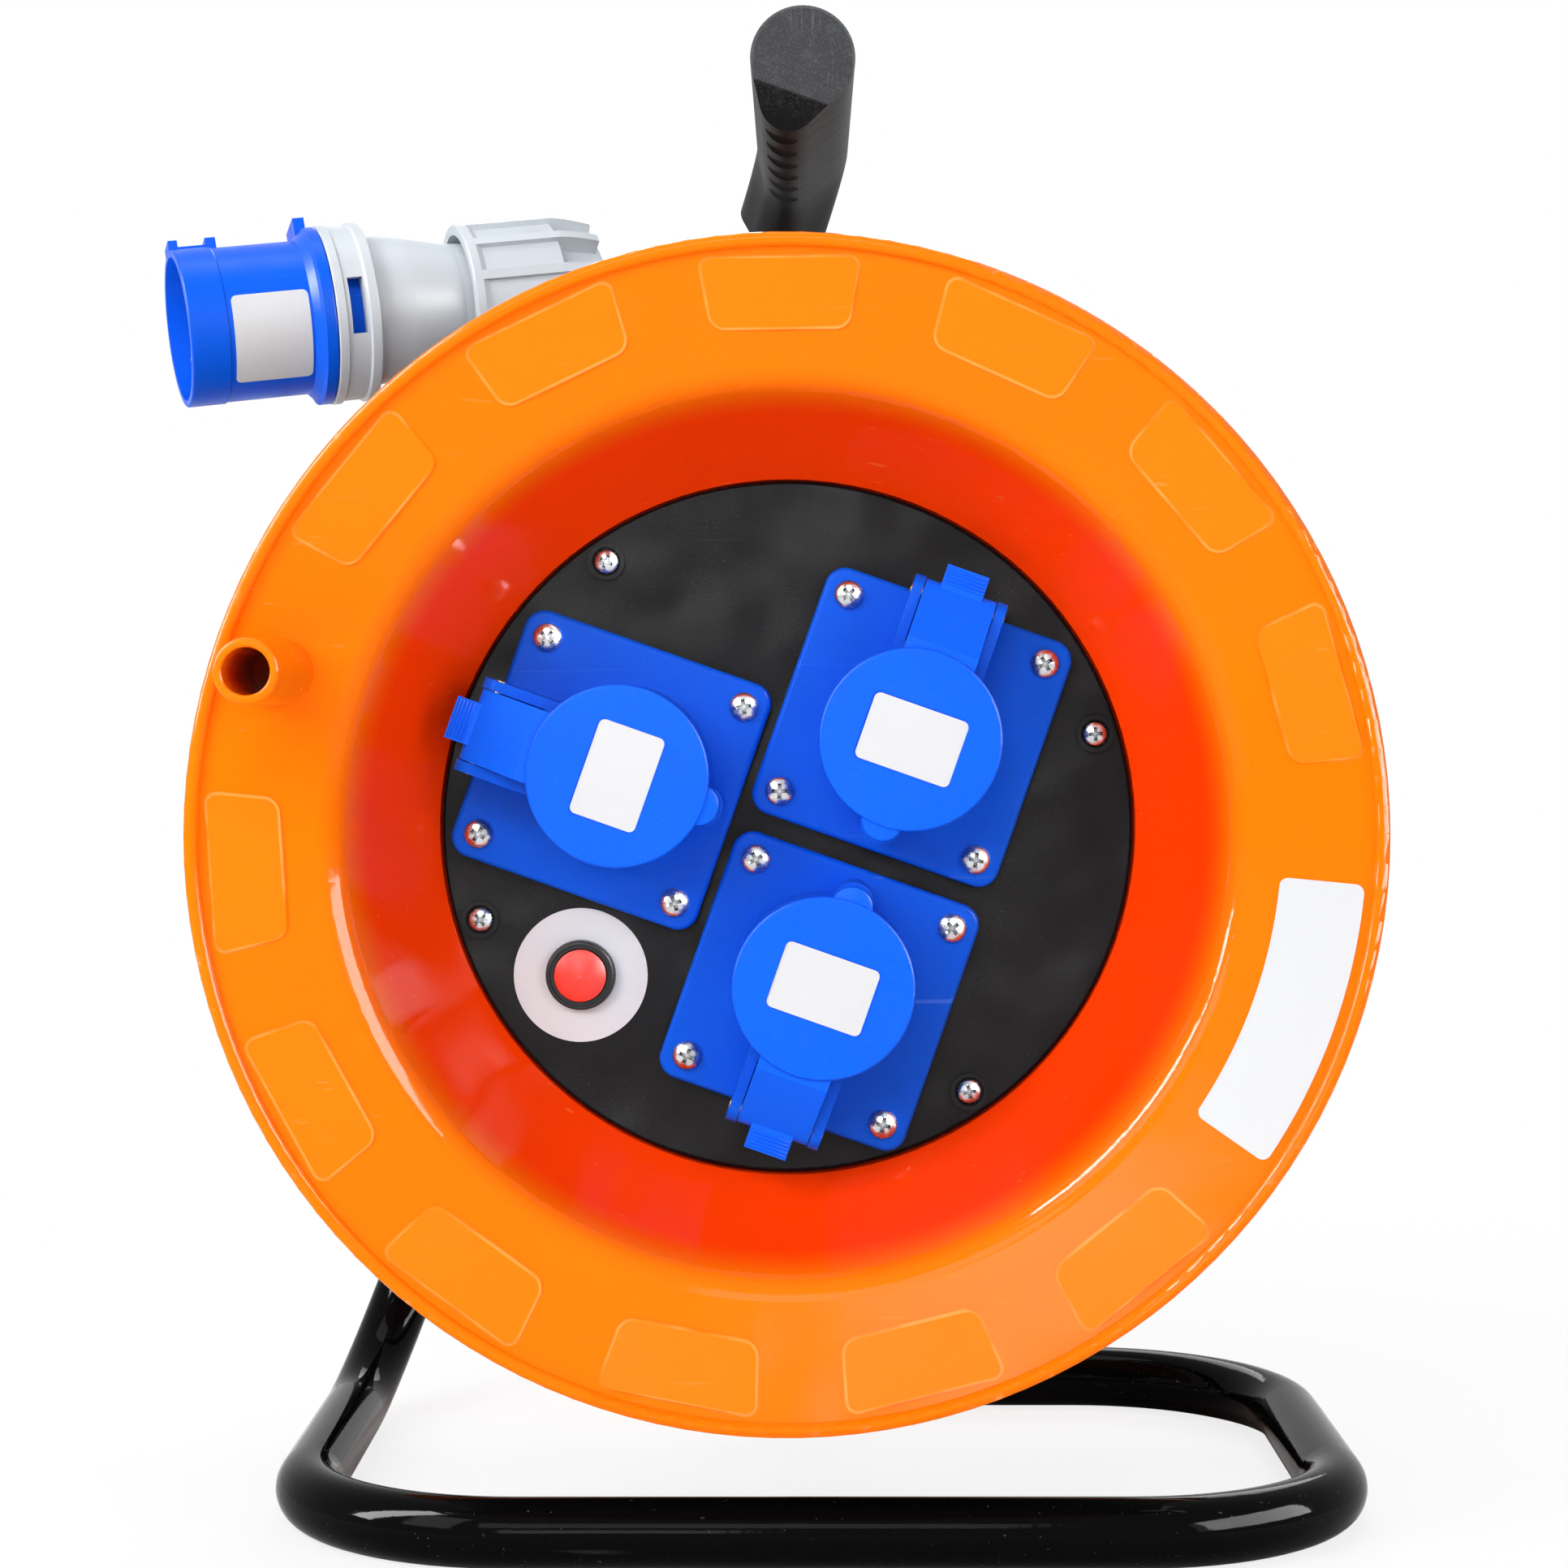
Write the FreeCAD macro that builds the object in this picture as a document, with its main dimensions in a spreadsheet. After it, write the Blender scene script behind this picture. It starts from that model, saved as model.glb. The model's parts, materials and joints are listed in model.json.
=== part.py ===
import FreeCAD, Part
import math
import os
import types

import Sketcher
from FreeCAD import Matrix, Placement, Rotation, Vector

# Extension cord reel: an orange two-part drum with a socket panel in its dished front, turning on
# an axle that one bent tube carries. +Z is up, +Y runs from the front of the reel to its back, and
# the origin is on the floor, under the middle of the box that holds the reel without its loose lead.

doc = FreeCAD.newDocument("cord_reel")

# Driving dimensions, in millimetres and degrees
DRIVING = {
    # Drum
    "drum_diameter": 330,
    "rim_bead": 2,
    "rim_lip": 4,
    "ring_step": 0.8,
    "bowl_flare": 23.5,
    "ring_drop": 10.8,
    "ring_rounding": 9,
    "bowl_radius": 120,
    "shell_wall": 3,
    "panel_depth": 59,
    "panel_diameter": 200,
    "panel_thick": 3,
    "panel_play": 0.5,
    "panel_reveal": 3,
    "seal_thick": 1.5,
    "ledge_width": 14.5,
    "spigot_length": 13.5,
    "spigot_play": 0.2,
    "barrel_wall": 3.5,
    "rear_wall": 177,
    "rear_rise": 8.5,
    "drum_turn": 19.4,
    # Raised pads round the front flange
    "pad_inset": 16.4,
    "pad_height": 0.7,
    "pad_length": 20,
    "pad_inner_width": 38,
    "pad_outer_width": 45,
    "pad_corner": 4,
    "pad_first": 21.5,
    "pad_step": 25.04,
    # Crank post, moulded with the front shell
    "post_inset": 18.4,
    "post_angle": 181.75,
    "post_reach": 50,
    "post_end_radius": 8.7,
    "post_base_radius": 9.5,
    "post_bore_radius": 6.25,
    "post_bore_depth": 53,
    "post_lip": 1.2,
    "post_root": 9,
    # Screws of the panel and the drum
    "boss_inset": 7.5,
    "panel_screw_angle": 36.2,
    "panel_screw_radius": 1.75,
    "panel_boss_radius": 4.5,
    "boss_ring_radius": 5.4,
    "boss_ring_height": 1.5,
    "head_radius": 3.85,
    "head_height": 2.4,
    "drum_screw_radius": 2.5,
    "drum_boss_radius": 6,
    "drum_boss_gap": 4,
    "rib_thick": 2.5,
    # Hub, bushes and axle
    "hub_radius": 17,
    "hub_foot_radius": 30,
    "hub_front": 100,
    "hub_reach": 50,
    "bush_radius": 13,
    "bush_length": 18,
    "bush_flange": 2,
    "axle_radius": 8,
    "axle_play": 0.06,
    "fit_play": 0.05,
    "thrust_play": 0.4,
    "thrust_washer": 2,
    "clip_thick": 1.4,
    "clip_depth": 1,
    "collar_thick": 4,
    "stud_radius": 5,
    "stud_tip": 1.5,
    "nut_height": 8,
    "nut_flats": 17,
    "washer_thick": 2,
    # Bent tube stand
    "tube_diameter": 20,
    "tube_wall": 1.5,
    "base_width": 327,
    "base_shift": 10,
    "base_front": 31.5,
    "saddle_thick": 7.6,
    "base_bend": 66,
    "rear_bend": 60,
    "handle_bend": 50,
    "floor_gap": 43,
    "handle_gap": 52,
    "handle_shift": 3.5,
    "upright_drop": 51,
    # Handle grip
    "grip_front": 40,
    "grip_wall": 5,
    "grip_top_rise": 2.5,
    "grip_foot_radius": 9,
    "grip_foot_drop": 8.5,
    "grip_end_wall": 3,
    "grip_bend_sweep": 52,
    "finger_radius": 14,
    "finger_depth": 1.6,
    "finger_step": 24,
    # Winding
    "cord_diameter": 10.8,
    "core_thick": 21.4,
    "winding_front": 20.6,
    "winding_room": 147,
    "winding_gap": 0.5,
    "winding_end_angle": 30,
    "winding_play": 0.3,
    "climb_angle": 20,
    # Sockets
    "plate_side": 75,
    "plate_corner": 6,
    "plate_thick": 4,
    "plate_rounding": 1.5,
    "gasket_thick": 1,
    "hole_pitch": 60,
    "collar_shift": 3.3,
    "collar_radius": 25.85,
    "collar_bore_radius": 24.45,
    "collar_reach": 27,
    "nose_radius": 5.8,
    "key_width": 8.6,
    "key_depth": 3.6,
    "barrel_bore_radius": 22.2,
    "barrel_radius": 24.4,
    "barrel_reach": 30,
    "insert_radius": 21.6,
    "insert_recess": 5,
    "insert_flange": 1.5,
    "pin_circle": 13.75,
    "live_radius": 3.3,
    "earth_radius": 4.3,
    "contact_wall": 0.75,
    "hinge_out": 37.2,
    "hinge_up": 18,
    "hinge_pin_radius": 1.5,
    "ear_radius": 4.7,
    "ear_outside": 27.6,
    "arm_width": 21,
    "arm_play": 0.3,
    "lid_gap": 0.3,
    "lid_thick": 5.2,
    "lid_cup_radius": 20,
    "lid_cup_depth": 3,
    "lid_seal_thick": 1.6,
    "label_length": 28.5,
    "label_width": 20,
    "label_depth": 0.5,
    "tab_width": 12.4,
    "tab_reach": 10,
    # Circuit breaker with its reset button
    "reset_x": -42.3,
    "reset_y": -60.5,
    "button_radius": 7.5,
    "button_play": 0.3,
    "neck_radius": 8.9,
    "bezel_radius": 9.85,
    "bezel_height": 3,
    "button_rise": 5,
    "button_dome": 1.6,
    "breaker_length": 30,
    "breaker_width": 19,
    "breaker_depth": 30,
    # Cable tail inside the drum
    "tail_offset": 80,
    "tail_lift": 1.6,
    "grommet_wall": 2.6,
    # Plug on the loose lead
    "plug_length": 132.5,
    "shroud_radius": 23.6,
    "shroud_wall": 1.7,
    "shroud_length": 40.5,
    "shroud_band": 11.5,
    "shroud_flange_radius": 27.3,
    "shroud_flange": 3.5,
    "key_height": 3.4,
    "key_run": 14.5,
    "plug_pin_live": 2.5,
    "plug_pin_earth": 3.5,
    "plug_pin_recess": 4,
    "plug_pin_step": 0.5,
    "ring_radius": 26.8,
    "ring_length": 13.5,
    "body_radius": 22.8,
    "body_end_radius": 17.6,
    "gland_start": 88,
    "gland_radius": 22.6,
    "gland_rib": 1.7,
    "gland_ribs": 12,
    "lead_seat": 8,
}

sheet = doc.addObject("Spreadsheet::Sheet", "Sizes")
for row, (alias, value) in enumerate(DRIVING.items(), start=1):
    sheet.set(f"A{row}", alias)
    sheet.set(f"B{row}", str(value))
    sheet.setAlias(f"B{row}", alias)
doc.recompute()


class Size:
    """A number together with the formula that gives it from the sheet."""

    def __init__(self, value, formula):
        self.value = float(value)
        self.formula = formula

    def __float__(self):
        return self.value

    def __add__(self, other):
        other = sized(other)
        return Size(self.value + other.value, f"({self.formula} + {other.formula})")

    def __sub__(self, other):
        other = sized(other)
        return Size(self.value - other.value, f"({self.formula} - {other.formula})")

    def __mul__(self, other):
        other = sized(other)
        return Size(self.value * other.value, f"({self.formula} * {other.formula})")

    def __truediv__(self, other):
        other = sized(other)
        return Size(self.value / other.value, f"({self.formula} / {other.formula})")

    def __radd__(self, other):
        return sized(other) + self

    def __rsub__(self, other):
        return sized(other) - self

    def __rmul__(self, other):
        return sized(other) * self

    def __neg__(self):
        return Size(-self.value, f"(0 - {self.formula})")


def sized(number):
    return number if isinstance(number, Size) else Size(number, repr(float(number)))


def cosine(angle):
    angle = sized(angle)
    return Size(math.cos(math.radians(angle.value)), f"cos({angle.formula} * 1 deg)")


def sine(angle):
    angle = sized(angle)
    return Size(math.sin(math.radians(angle.value)), f"sin({angle.formula} * 1 deg)")


def root(number):
    return Size(math.sqrt(number.value), f"sqrt({number.formula})")


size = types.SimpleNamespace(**{alias: Size(value, f"Sizes.{alias}") for alias, value in DRIVING.items()})

# Sizes that several pieces share
drum_radius = size.drum_diameter / 2
tube_radius = size.tube_diameter / 2
cord_radius = size.cord_diameter / 2
seat_radius = size.panel_diameter / 2 + size.panel_play
ring_outer = drum_radius - size.rim_bead * 2
ring_inner = seat_radius + size.bowl_flare
pad_middle = drum_radius - size.pad_inset
post_orbit = drum_radius - size.post_inset
boss_orbit = seat_radius - size.boss_inset
ledge_inner = seat_radius - size.ledge_width
ledge_depth = size.panel_depth + size.panel_thick + size.seal_thick
spigot_radius = seat_radius + size.shell_wall + 0.8
spigot_end = ledge_depth + size.shell_wall + size.spigot_length
drum_boss_end = spigot_end + size.drum_boss_gap
barrel_inside = spigot_radius + size.spigot_play
barrel_outside = barrel_inside + size.barrel_wall
barrel_start = size.panel_depth - 1
rear_face = size.rear_wall + size.shell_wall
core_radius = barrel_outside + size.core_thick
winding_radius = core_radius + size.winding_play + cord_radius
winding_pitch = size.cord_diameter + size.winding_gap
winding_turns = int(float(size.winding_room / winding_pitch))
tail_height = cord_radius + size.tail_lift
grommet_radius = cord_radius + size.grommet_wall
hub_rear = rear_face + size.hub_reach
bush_end = hub_rear + size.bush_flange
collar_front = bush_end + size.thrust_play
collar_back = collar_front + size.collar_thick
upright_set = collar_back + size.saddle_thick + tube_radius
tube_back = upright_set + tube_radius
nut_front = tube_back + size.fit_play + size.washer_thick
rear_reach = nut_front + size.nut_height + size.stud_tip
axle_height = drum_radius + size.floor_gap
handle_height = axle_height + drum_radius + size.handle_gap
upright_top = handle_height - size.upright_drop
grip_top_radius = tube_radius + size.grip_wall

# Where the drum's axis and rim stand in the reel's own frame
axle_x = (drum_radius - size.base_shift - size.base_width / 2) / 2
rim_y = (size.post_reach - rear_reach) / 2
base_half = size.base_width / 2 - tube_radius
left_bar = size.base_shift - base_half
right_bar = size.base_shift + base_half
lean = math.degrees(math.atan2(float(size.handle_shift - left_bar), float(handle_height - tube_radius)))

pieces = []


def keep(label, shape_object):
    """Names a finished sub-part."""
    shape_object.Label = label
    pieces.append(shape_object)
    return shape_object


def bind(target, path, value):
    """Gives a property its number and, where it comes from the sheet, its formula."""
    value = sized(value)
    if "Sizes." in value.formula:
        target.setExpression(path, value.formula)
    return value.value


def new_body(name, base=(0, 0, 0), turn=None):
    body = doc.addObject("PartDesign::Body", name)
    numbers = [float(sized(part)) for part in base]
    body.Placement = Placement(Vector(*numbers), turn or Rotation())
    for axis, part in zip("xyz", base):
        bind(body, f"Placement.Base.{axis}", part)
    return body


def drum_rotation(turn=0.0):
    """Local +Z points out of the drum's front and local +Y up, turned anticlockwise by turn."""
    return Rotation(Vector(1, 0, 0), 90) * Rotation(Vector(0, 0, 1), turn)


def drum_body(name, turn=None, forward=0):
    """A body on the drum's axis, with its XY plane at the rim or that far in front of it."""
    turn = -size.drum_turn.value if turn is None else turn
    return new_body(name, (axle_x, rim_y - forward, axle_height), drum_rotation(turn))


def new_sketch(body, plane, height=0, swing=0):
    """A sketch on an origin plane, raised along its normal or swung about its own Y axis."""
    made = body.newObject("Sketcher::SketchObject", f"{body.Name}_sketch")
    origin_plane = next(item for item in body.Origin.OriginFeatures if item.Role == f"{plane}_Plane")
    made.AttachmentSupport = [(origin_plane, "")]
    made.MapMode = "FlatFace"
    rise = float(sized(height))
    made.AttachmentOffset = Placement(Vector(0, 0, rise), Rotation(Vector(0, 1, 0), float(sized(swing))))
    bind(made, "AttachmentOffset.Base.z", height)
    return made


def fix(drawing, kind, places, value):
    """Adds a dimension to a sketch."""
    value = sized(value)
    index = drawing.addConstraint(Sketcher.Constraint(kind, *places, value.value))
    bind(drawing, f"Constraints[{index}]", value)


def fix_point(drawing, geometry, end, x, y):
    fix(drawing, "DistanceX", (-1, 1, geometry, end), x)
    fix(drawing, "DistanceY", (-1, 1, geometry, end), y)


class Corner:
    """A corner of an outline. The way to it is straight, or an arc that turns left where its
    radius is above zero and right where it is below. The corner itself may be rounded."""

    def __init__(self, x, y, arc=None, rounding=None):
        self.x = sized(x)
        self.y = sized(y)
        self.arc = arc
        self.rounding = rounding
        self.place = Vector(self.x.value, self.y.value, 0)


def arc_between(start, end, radius):
    """The arc from start to end that turns left for a radius above zero."""
    chord = end - start
    middle = (start + end) * 0.5
    side = Vector(-chord.y, chord.x, 0).normalize()
    reach = math.sqrt(max(radius * radius - chord.Length * chord.Length / 4, 0))
    centre = middle + side * (reach if radius > 0 else -reach)
    first, last = (start, end) if radius > 0 else (end, start)
    begin = math.atan2(first.y - centre.y, first.x - centre.x)
    stop = math.atan2(last.y - centre.y, last.x - centre.x)
    return Part.ArcOfCircle(Part.Circle(centre, Vector(0, 0, 1), abs(radius)), begin, stop)


def outline(drawing, corners):
    """Draws a closed outline of straight runs and arcs, with every corner held by the sheet."""
    count = len(corners)
    arriving = []
    leaving = []
    for index, corner in enumerate(corners):
        entry = corner.place
        exit_point = corner.place
        if corner.rounding is not None:
            before = (corners[index - 1].place - corner.place).normalize()
            after = (corners[(index + 1) % count].place - corner.place).normalize()
            reach = float(sized(corner.rounding)) / math.tan(before.getAngle(after) / 2)
            entry = corner.place + before * reach
            exit_point = corner.place + after * reach
        arriving.append(entry)
        leaving.append(exit_point)
    run_ends = []
    for index in range(count):
        start = leaving[index]
        end = arriving[(index + 1) % count]
        arc = corners[(index + 1) % count].arc
        if arc is None:
            run_ends.append((drawing.addGeometry(Part.LineSegment(start, end)), 1, 2))
            continue
        radius = sized(arc)
        run = drawing.addGeometry(arc_between(start, end, radius.value))
        run_ends.append((run, 1, 2) if radius.value > 0 else (run, 2, 1))
        positive = radius if radius.value > 0 else -radius
        fix(drawing, "Radius", (run,), positive)
    for index, corner in enumerate(corners):
        before, _, before_end = run_ends[index - 1]
        after, after_start, _ = run_ends[index]
        if corner.rounding is None:
            drawing.addConstraint(Sketcher.Constraint("Coincident", before, before_end, after, after_start))
            fix_point(drawing, after, after_start, corner.x, corner.y)
            continue
        turn = (corner.place - arriving[index]).cross(leaving[index] - corner.place).z
        radius = sized(corner.rounding)
        signed = radius.value if turn > 0 else -radius.value
        bend = drawing.addGeometry(arc_between(arriving[index], leaving[index], signed))
        bend_start, bend_end = (1, 2) if turn > 0 else (2, 1)
        drawing.addConstraint(Sketcher.Constraint("Tangent", before, before_end, bend, bend_start))
        drawing.addConstraint(Sketcher.Constraint("Tangent", bend, bend_end, after, after_start))
        fix(drawing, "Radius", (bend,), radius)
        point = drawing.addGeometry(Part.Point(corner.place), True)
        fix_point(drawing, point, 1, corner.x, corner.y)
        drawing.addConstraint(Sketcher.Constraint("PointOnObject", point, 1, before))
        drawing.addConstraint(Sketcher.Constraint("PointOnObject", point, 1, after))
    return drawing


def circle(drawing, x, y, radius):
    x, y, radius = sized(x), sized(y), sized(radius)
    made = drawing.addGeometry(Part.Circle(Vector(x.value, y.value, 0), Vector(0, 0, 1), radius.value))
    fix_point(drawing, made, 3, x, y)
    fix(drawing, "Radius", (made,), radius)
    return drawing


def box_outline(drawing, left, bottom, right, top, rounding=None):
    corners = [(left, bottom), (right, bottom), (right, top), (left, top)]
    return outline(drawing, [Corner(x, y, rounding=rounding) for x, y in corners])


def axis_line(drawing, x):
    """A construction line parallel to the sketch's Y axis, to turn a profile about."""
    x = sized(x)
    line = drawing.addGeometry(Part.LineSegment(Vector(x.value, 0, 0), Vector(x.value, 10, 0)), True)
    fix_point(drawing, line, 1, x, 0)
    fix_point(drawing, line, 2, x, 10)


def pad(body, drawing, length, middle=False, back=False):
    feature = body.newObject("PartDesign::Pad", f"{body.Name}_pad")
    feature.Profile = drawing
    feature.Length = bind(feature, "Length", length)
    feature.Midplane = middle
    feature.Reversed = back
    return feature


def pocket(body, drawing, length, middle=False, forward=False):
    """Cuts a sketch's shape backwards along its normal, or forwards, or both ways."""
    feature = body.newObject("PartDesign::Pocket", f"{body.Name}_pocket")
    feature.Profile = drawing
    feature.Length = bind(feature, "Length", length)
    feature.Midplane = middle
    feature.Reversed = forward
    return checked_cut(body, feature)


def checked_cut(body, feature):
    doc.recompute()
    if not feature.Shape.Volume < feature.BaseFeature.Shape.Volume - 0.01:
        raise RuntimeError(f"a cut in {body.Name} removes nothing")
    return feature


def revolve(body, drawing, axis="V_Axis", angle=360, middle=False):
    feature = body.newObject("PartDesign::Revolution", f"{body.Name}_revolution")
    feature.Profile = drawing
    feature.ReferenceAxis = (drawing, [axis])
    feature.Angle = angle
    feature.Midplane = middle
    return feature


def groove(body, drawing, axis="V_Axis"):
    feature = body.newObject("PartDesign::Groove", f"{body.Name}_groove")
    feature.Profile = drawing
    feature.ReferenceAxis = (drawing, [axis])
    feature.Angle = 360
    return checked_cut(body, feature)


def polar(body, features, count, angle=360, back=False):
    """Repeats features about the body's Z axis."""
    pattern = body.newObject("PartDesign::PolarPattern", f"{body.Name}_polar")
    pattern.Originals = features
    axis = next(item for item in body.Origin.OriginFeatures if item.Role == "Z_Axis")
    pattern.Axis = (axis, [""])
    pattern.Angle = bind(pattern, "Angle", angle)
    pattern.Occurrences = count
    pattern.Reversed = back
    body.Tip = pattern
    doc.recompute()
    return pattern


def fillet(body, base, radius, wanted):
    """Rounds the edges of a feature that the test picks."""
    doc.recompute()
    names = [f"Edge{number}" for number, edge in enumerate(base.Shape.Edges, start=1) if wanted(edge)]
    if not names:
        raise RuntimeError(f"no edge to round in {body.Name}")
    feature = body.newObject("PartDesign::Fillet", f"{body.Name}_fillet")
    feature.Base = (base, names)
    feature.Radius = bind(feature, "Radius", radius)
    body.Tip = feature
    return feature


def level_edge(height, tolerance=0.01):
    """Picks edges that lie at one height in the body's own frame."""
    height = float(sized(height))
    return lambda edge: edge.BoundBox.ZLength < tolerance and abs(edge.BoundBox.ZMin - height) < tolerance


def shape_feature(label, shape, placement=None):
    """A sub-part whose shape no body makes."""
    made = doc.addObject("Part::Feature", label)
    made.Shape = shape
    if placement is not None:
        made.Placement = placement
    return made


def cut_away(name, base, tools):
    """The base without the tools, as one object."""
    result = base
    for tool in tools:
        made = doc.addObject("Part::Cut", f"{name}_cut")
        made.Base = result
        made.Tool = tool
        result = made
    return result


def joined(name, shapes):
    made = doc.addObject("Part::MultiFuse", f"{name}_joined")
    made.Shapes = shapes
    return made


def on_orbit(orbit, angle):
    """A point at that distance from the drum's axis, as seen from the front."""
    return orbit * cosine(angle), orbit * sine(angle)


# Wires for the bent tube and the cord


def arc_edge(start, corner, end):
    """The arc that leaves start towards corner and arrives at end, both as far from the corner."""
    middle = (start + end) * 0.5
    rise = corner - middle
    half_chord = (end - start).Length / 2
    slope = math.acos(half_chord / (corner - start).Length)
    bulge = rise.normalize() * (half_chord * math.tan(slope / 2))
    return Part.Arc(start, middle + bulge, end).toShape()


def bent_wire(points, radii):
    """Straight runs through the points, with a tangent arc of its own radius at each inner one."""
    edges = []
    start = points[0]
    for index, radius in enumerate(radii, start=1):
        corner = points[index]
        before = (points[index - 1] - corner).normalize()
        after = (points[index + 1] - corner).normalize()
        reach = radius / math.tan(before.getAngle(after) / 2)
        entry = corner + before * reach
        edges.append(Part.makeLine(start, entry))
        start = corner + after * reach
        edges.append(arc_edge(entry, corner, start))
    edges.append(Part.makeLine(start, points[-1]))
    return Part.Wire(edges)


def tube_along(wire, radius, inner_radius=None):
    """A round tube, or a solid round bar, along a wire."""
    start = wire.Edges[0].valueAt(wire.Edges[0].FirstParameter)
    ahead = wire.Edges[0].tangentAt(wire.Edges[0].FirstParameter)
    rings = [Part.Wire([Part.makeCircle(radius, start, ahead)])]
    body = wire.makePipeShell(rings, True, False)
    if inner_radius is None:
        return body
    bore = wire.makePipeShell([Part.Wire([Part.makeCircle(inner_radius, start, ahead)])], True, False)
    return body.cut(bore)


def compare_volume(label, shape, radius, length):
    """Stops on a tube whose volume isn't its section times its length."""
    expected = math.pi * radius * radius * length
    if abs(shape.Volume - expected) > 0.01 * expected:
        raise RuntimeError(f"{label} has the volume {shape.Volume:.0f}, not {expected:.0f}")


def reel_point(across, back, height):
    """A point given from the drum's axis, the rim's plane and the floor, in the reel's frame."""
    return Vector(float(sized(across)) + axle_x.value, float(sized(back)) + rim_y.value, float(sized(height)))


# Bent tube stand: one tube makes the handle, the leaning leg, the base and the upright


def make_frame_tube():
    rear = upright_set
    grip_start = size.grip_front + size.grip_end_wall + size.winding_play
    points = [
        reel_point(size.handle_shift, grip_start, handle_height),
        reel_point(size.handle_shift, rear, handle_height),
        reel_point(left_bar, rear, tube_radius),
        reel_point(left_bar, size.base_front, tube_radius),
        reel_point(right_bar, size.base_front, tube_radius),
        reel_point(right_bar, rear, tube_radius),
        reel_point(0, rear, tube_radius),
        reel_point(0, rear, upright_top),
    ]
    base_bend = size.base_bend.value
    rear_bend = size.rear_bend.value
    radii = [size.handle_bend.value, rear_bend, base_bend, base_bend, base_bend, rear_bend]
    path = bent_wire(points, radii)
    bends = Part.Wire(path.Edges[:-1])
    spine = shape_feature("tube_path", bends)
    inside_radius = tube_radius - size.tube_wall
    solids = []
    for name, radius in (("tube_outside", tube_radius), ("tube_inside", inside_radius)):
        ring = doc.addObject("Part::Circle", f"{name}_ring")
        ring.Radius = bind(ring, "Radius", radius)
        ring.Placement = Placement(points[0], Rotation(Vector(0, 0, 1), Vector(0, 1, 0)))
        sweep = doc.addObject("Part::Sweep", name)
        sweep.Sections = [ring]
        sweep.Spine = (spine, [f"Edge{number}" for number in range(1, len(bends.Edges) + 1)])
        sweep.Solid = True
        sweep.Frenet = False
        solids.append(sweep)
    doc.recompute()
    compare_volume("frame_tube", solids[0].Shape, tube_radius.value, bends.Length)
    bent = cut_away("bent_tube", solids[0], [solids[1]])
    # The upright's closed top is coped and welded to the side of the leaning leg
    foot = tube_radius + size.rear_bend
    bottom = reel_point(0, rear, foot)
    upright = round_bar("upright_outside", tube_radius, upright_top - foot, bottom)
    hollow = round_bar("upright_inside", inside_radius, upright_top - foot - size.tube_wall, bottom)
    slant = (points[1] - points[2]).normalize()
    cope = round_bar("leg_cope", tube_radius - size.tube_wall / 2, sized(420), points[2], slant)
    upright_tube = cut_away("upright", upright, [hollow, cope])
    # The hole for the axle's stud, through both walls of the upright
    front = reel_point(0, upright_set - size.tube_diameter, axle_height)
    hole_radius = size.stud_radius + size.fit_play
    hole = round_bar("axle_hole", hole_radius, size.tube_diameter * 2, front, Vector(0, 1, 0))
    keep("frame_tube", cut_away("frame_tube", joined("frame_tube", [bent, upright_tube]), [hole]))


def round_bar(name, radius, length, start, direction=Vector(0, 0, 1)):
    """A plain cylinder from a point along a direction."""
    made = doc.addObject("Part::Cylinder", name)
    made.Radius = bind(made, "Radius", radius)
    made.Height = bind(made, "Height", length)
    made.Placement = Placement(start, Rotation(Vector(0, 0, 1), direction))
    return made


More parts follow.
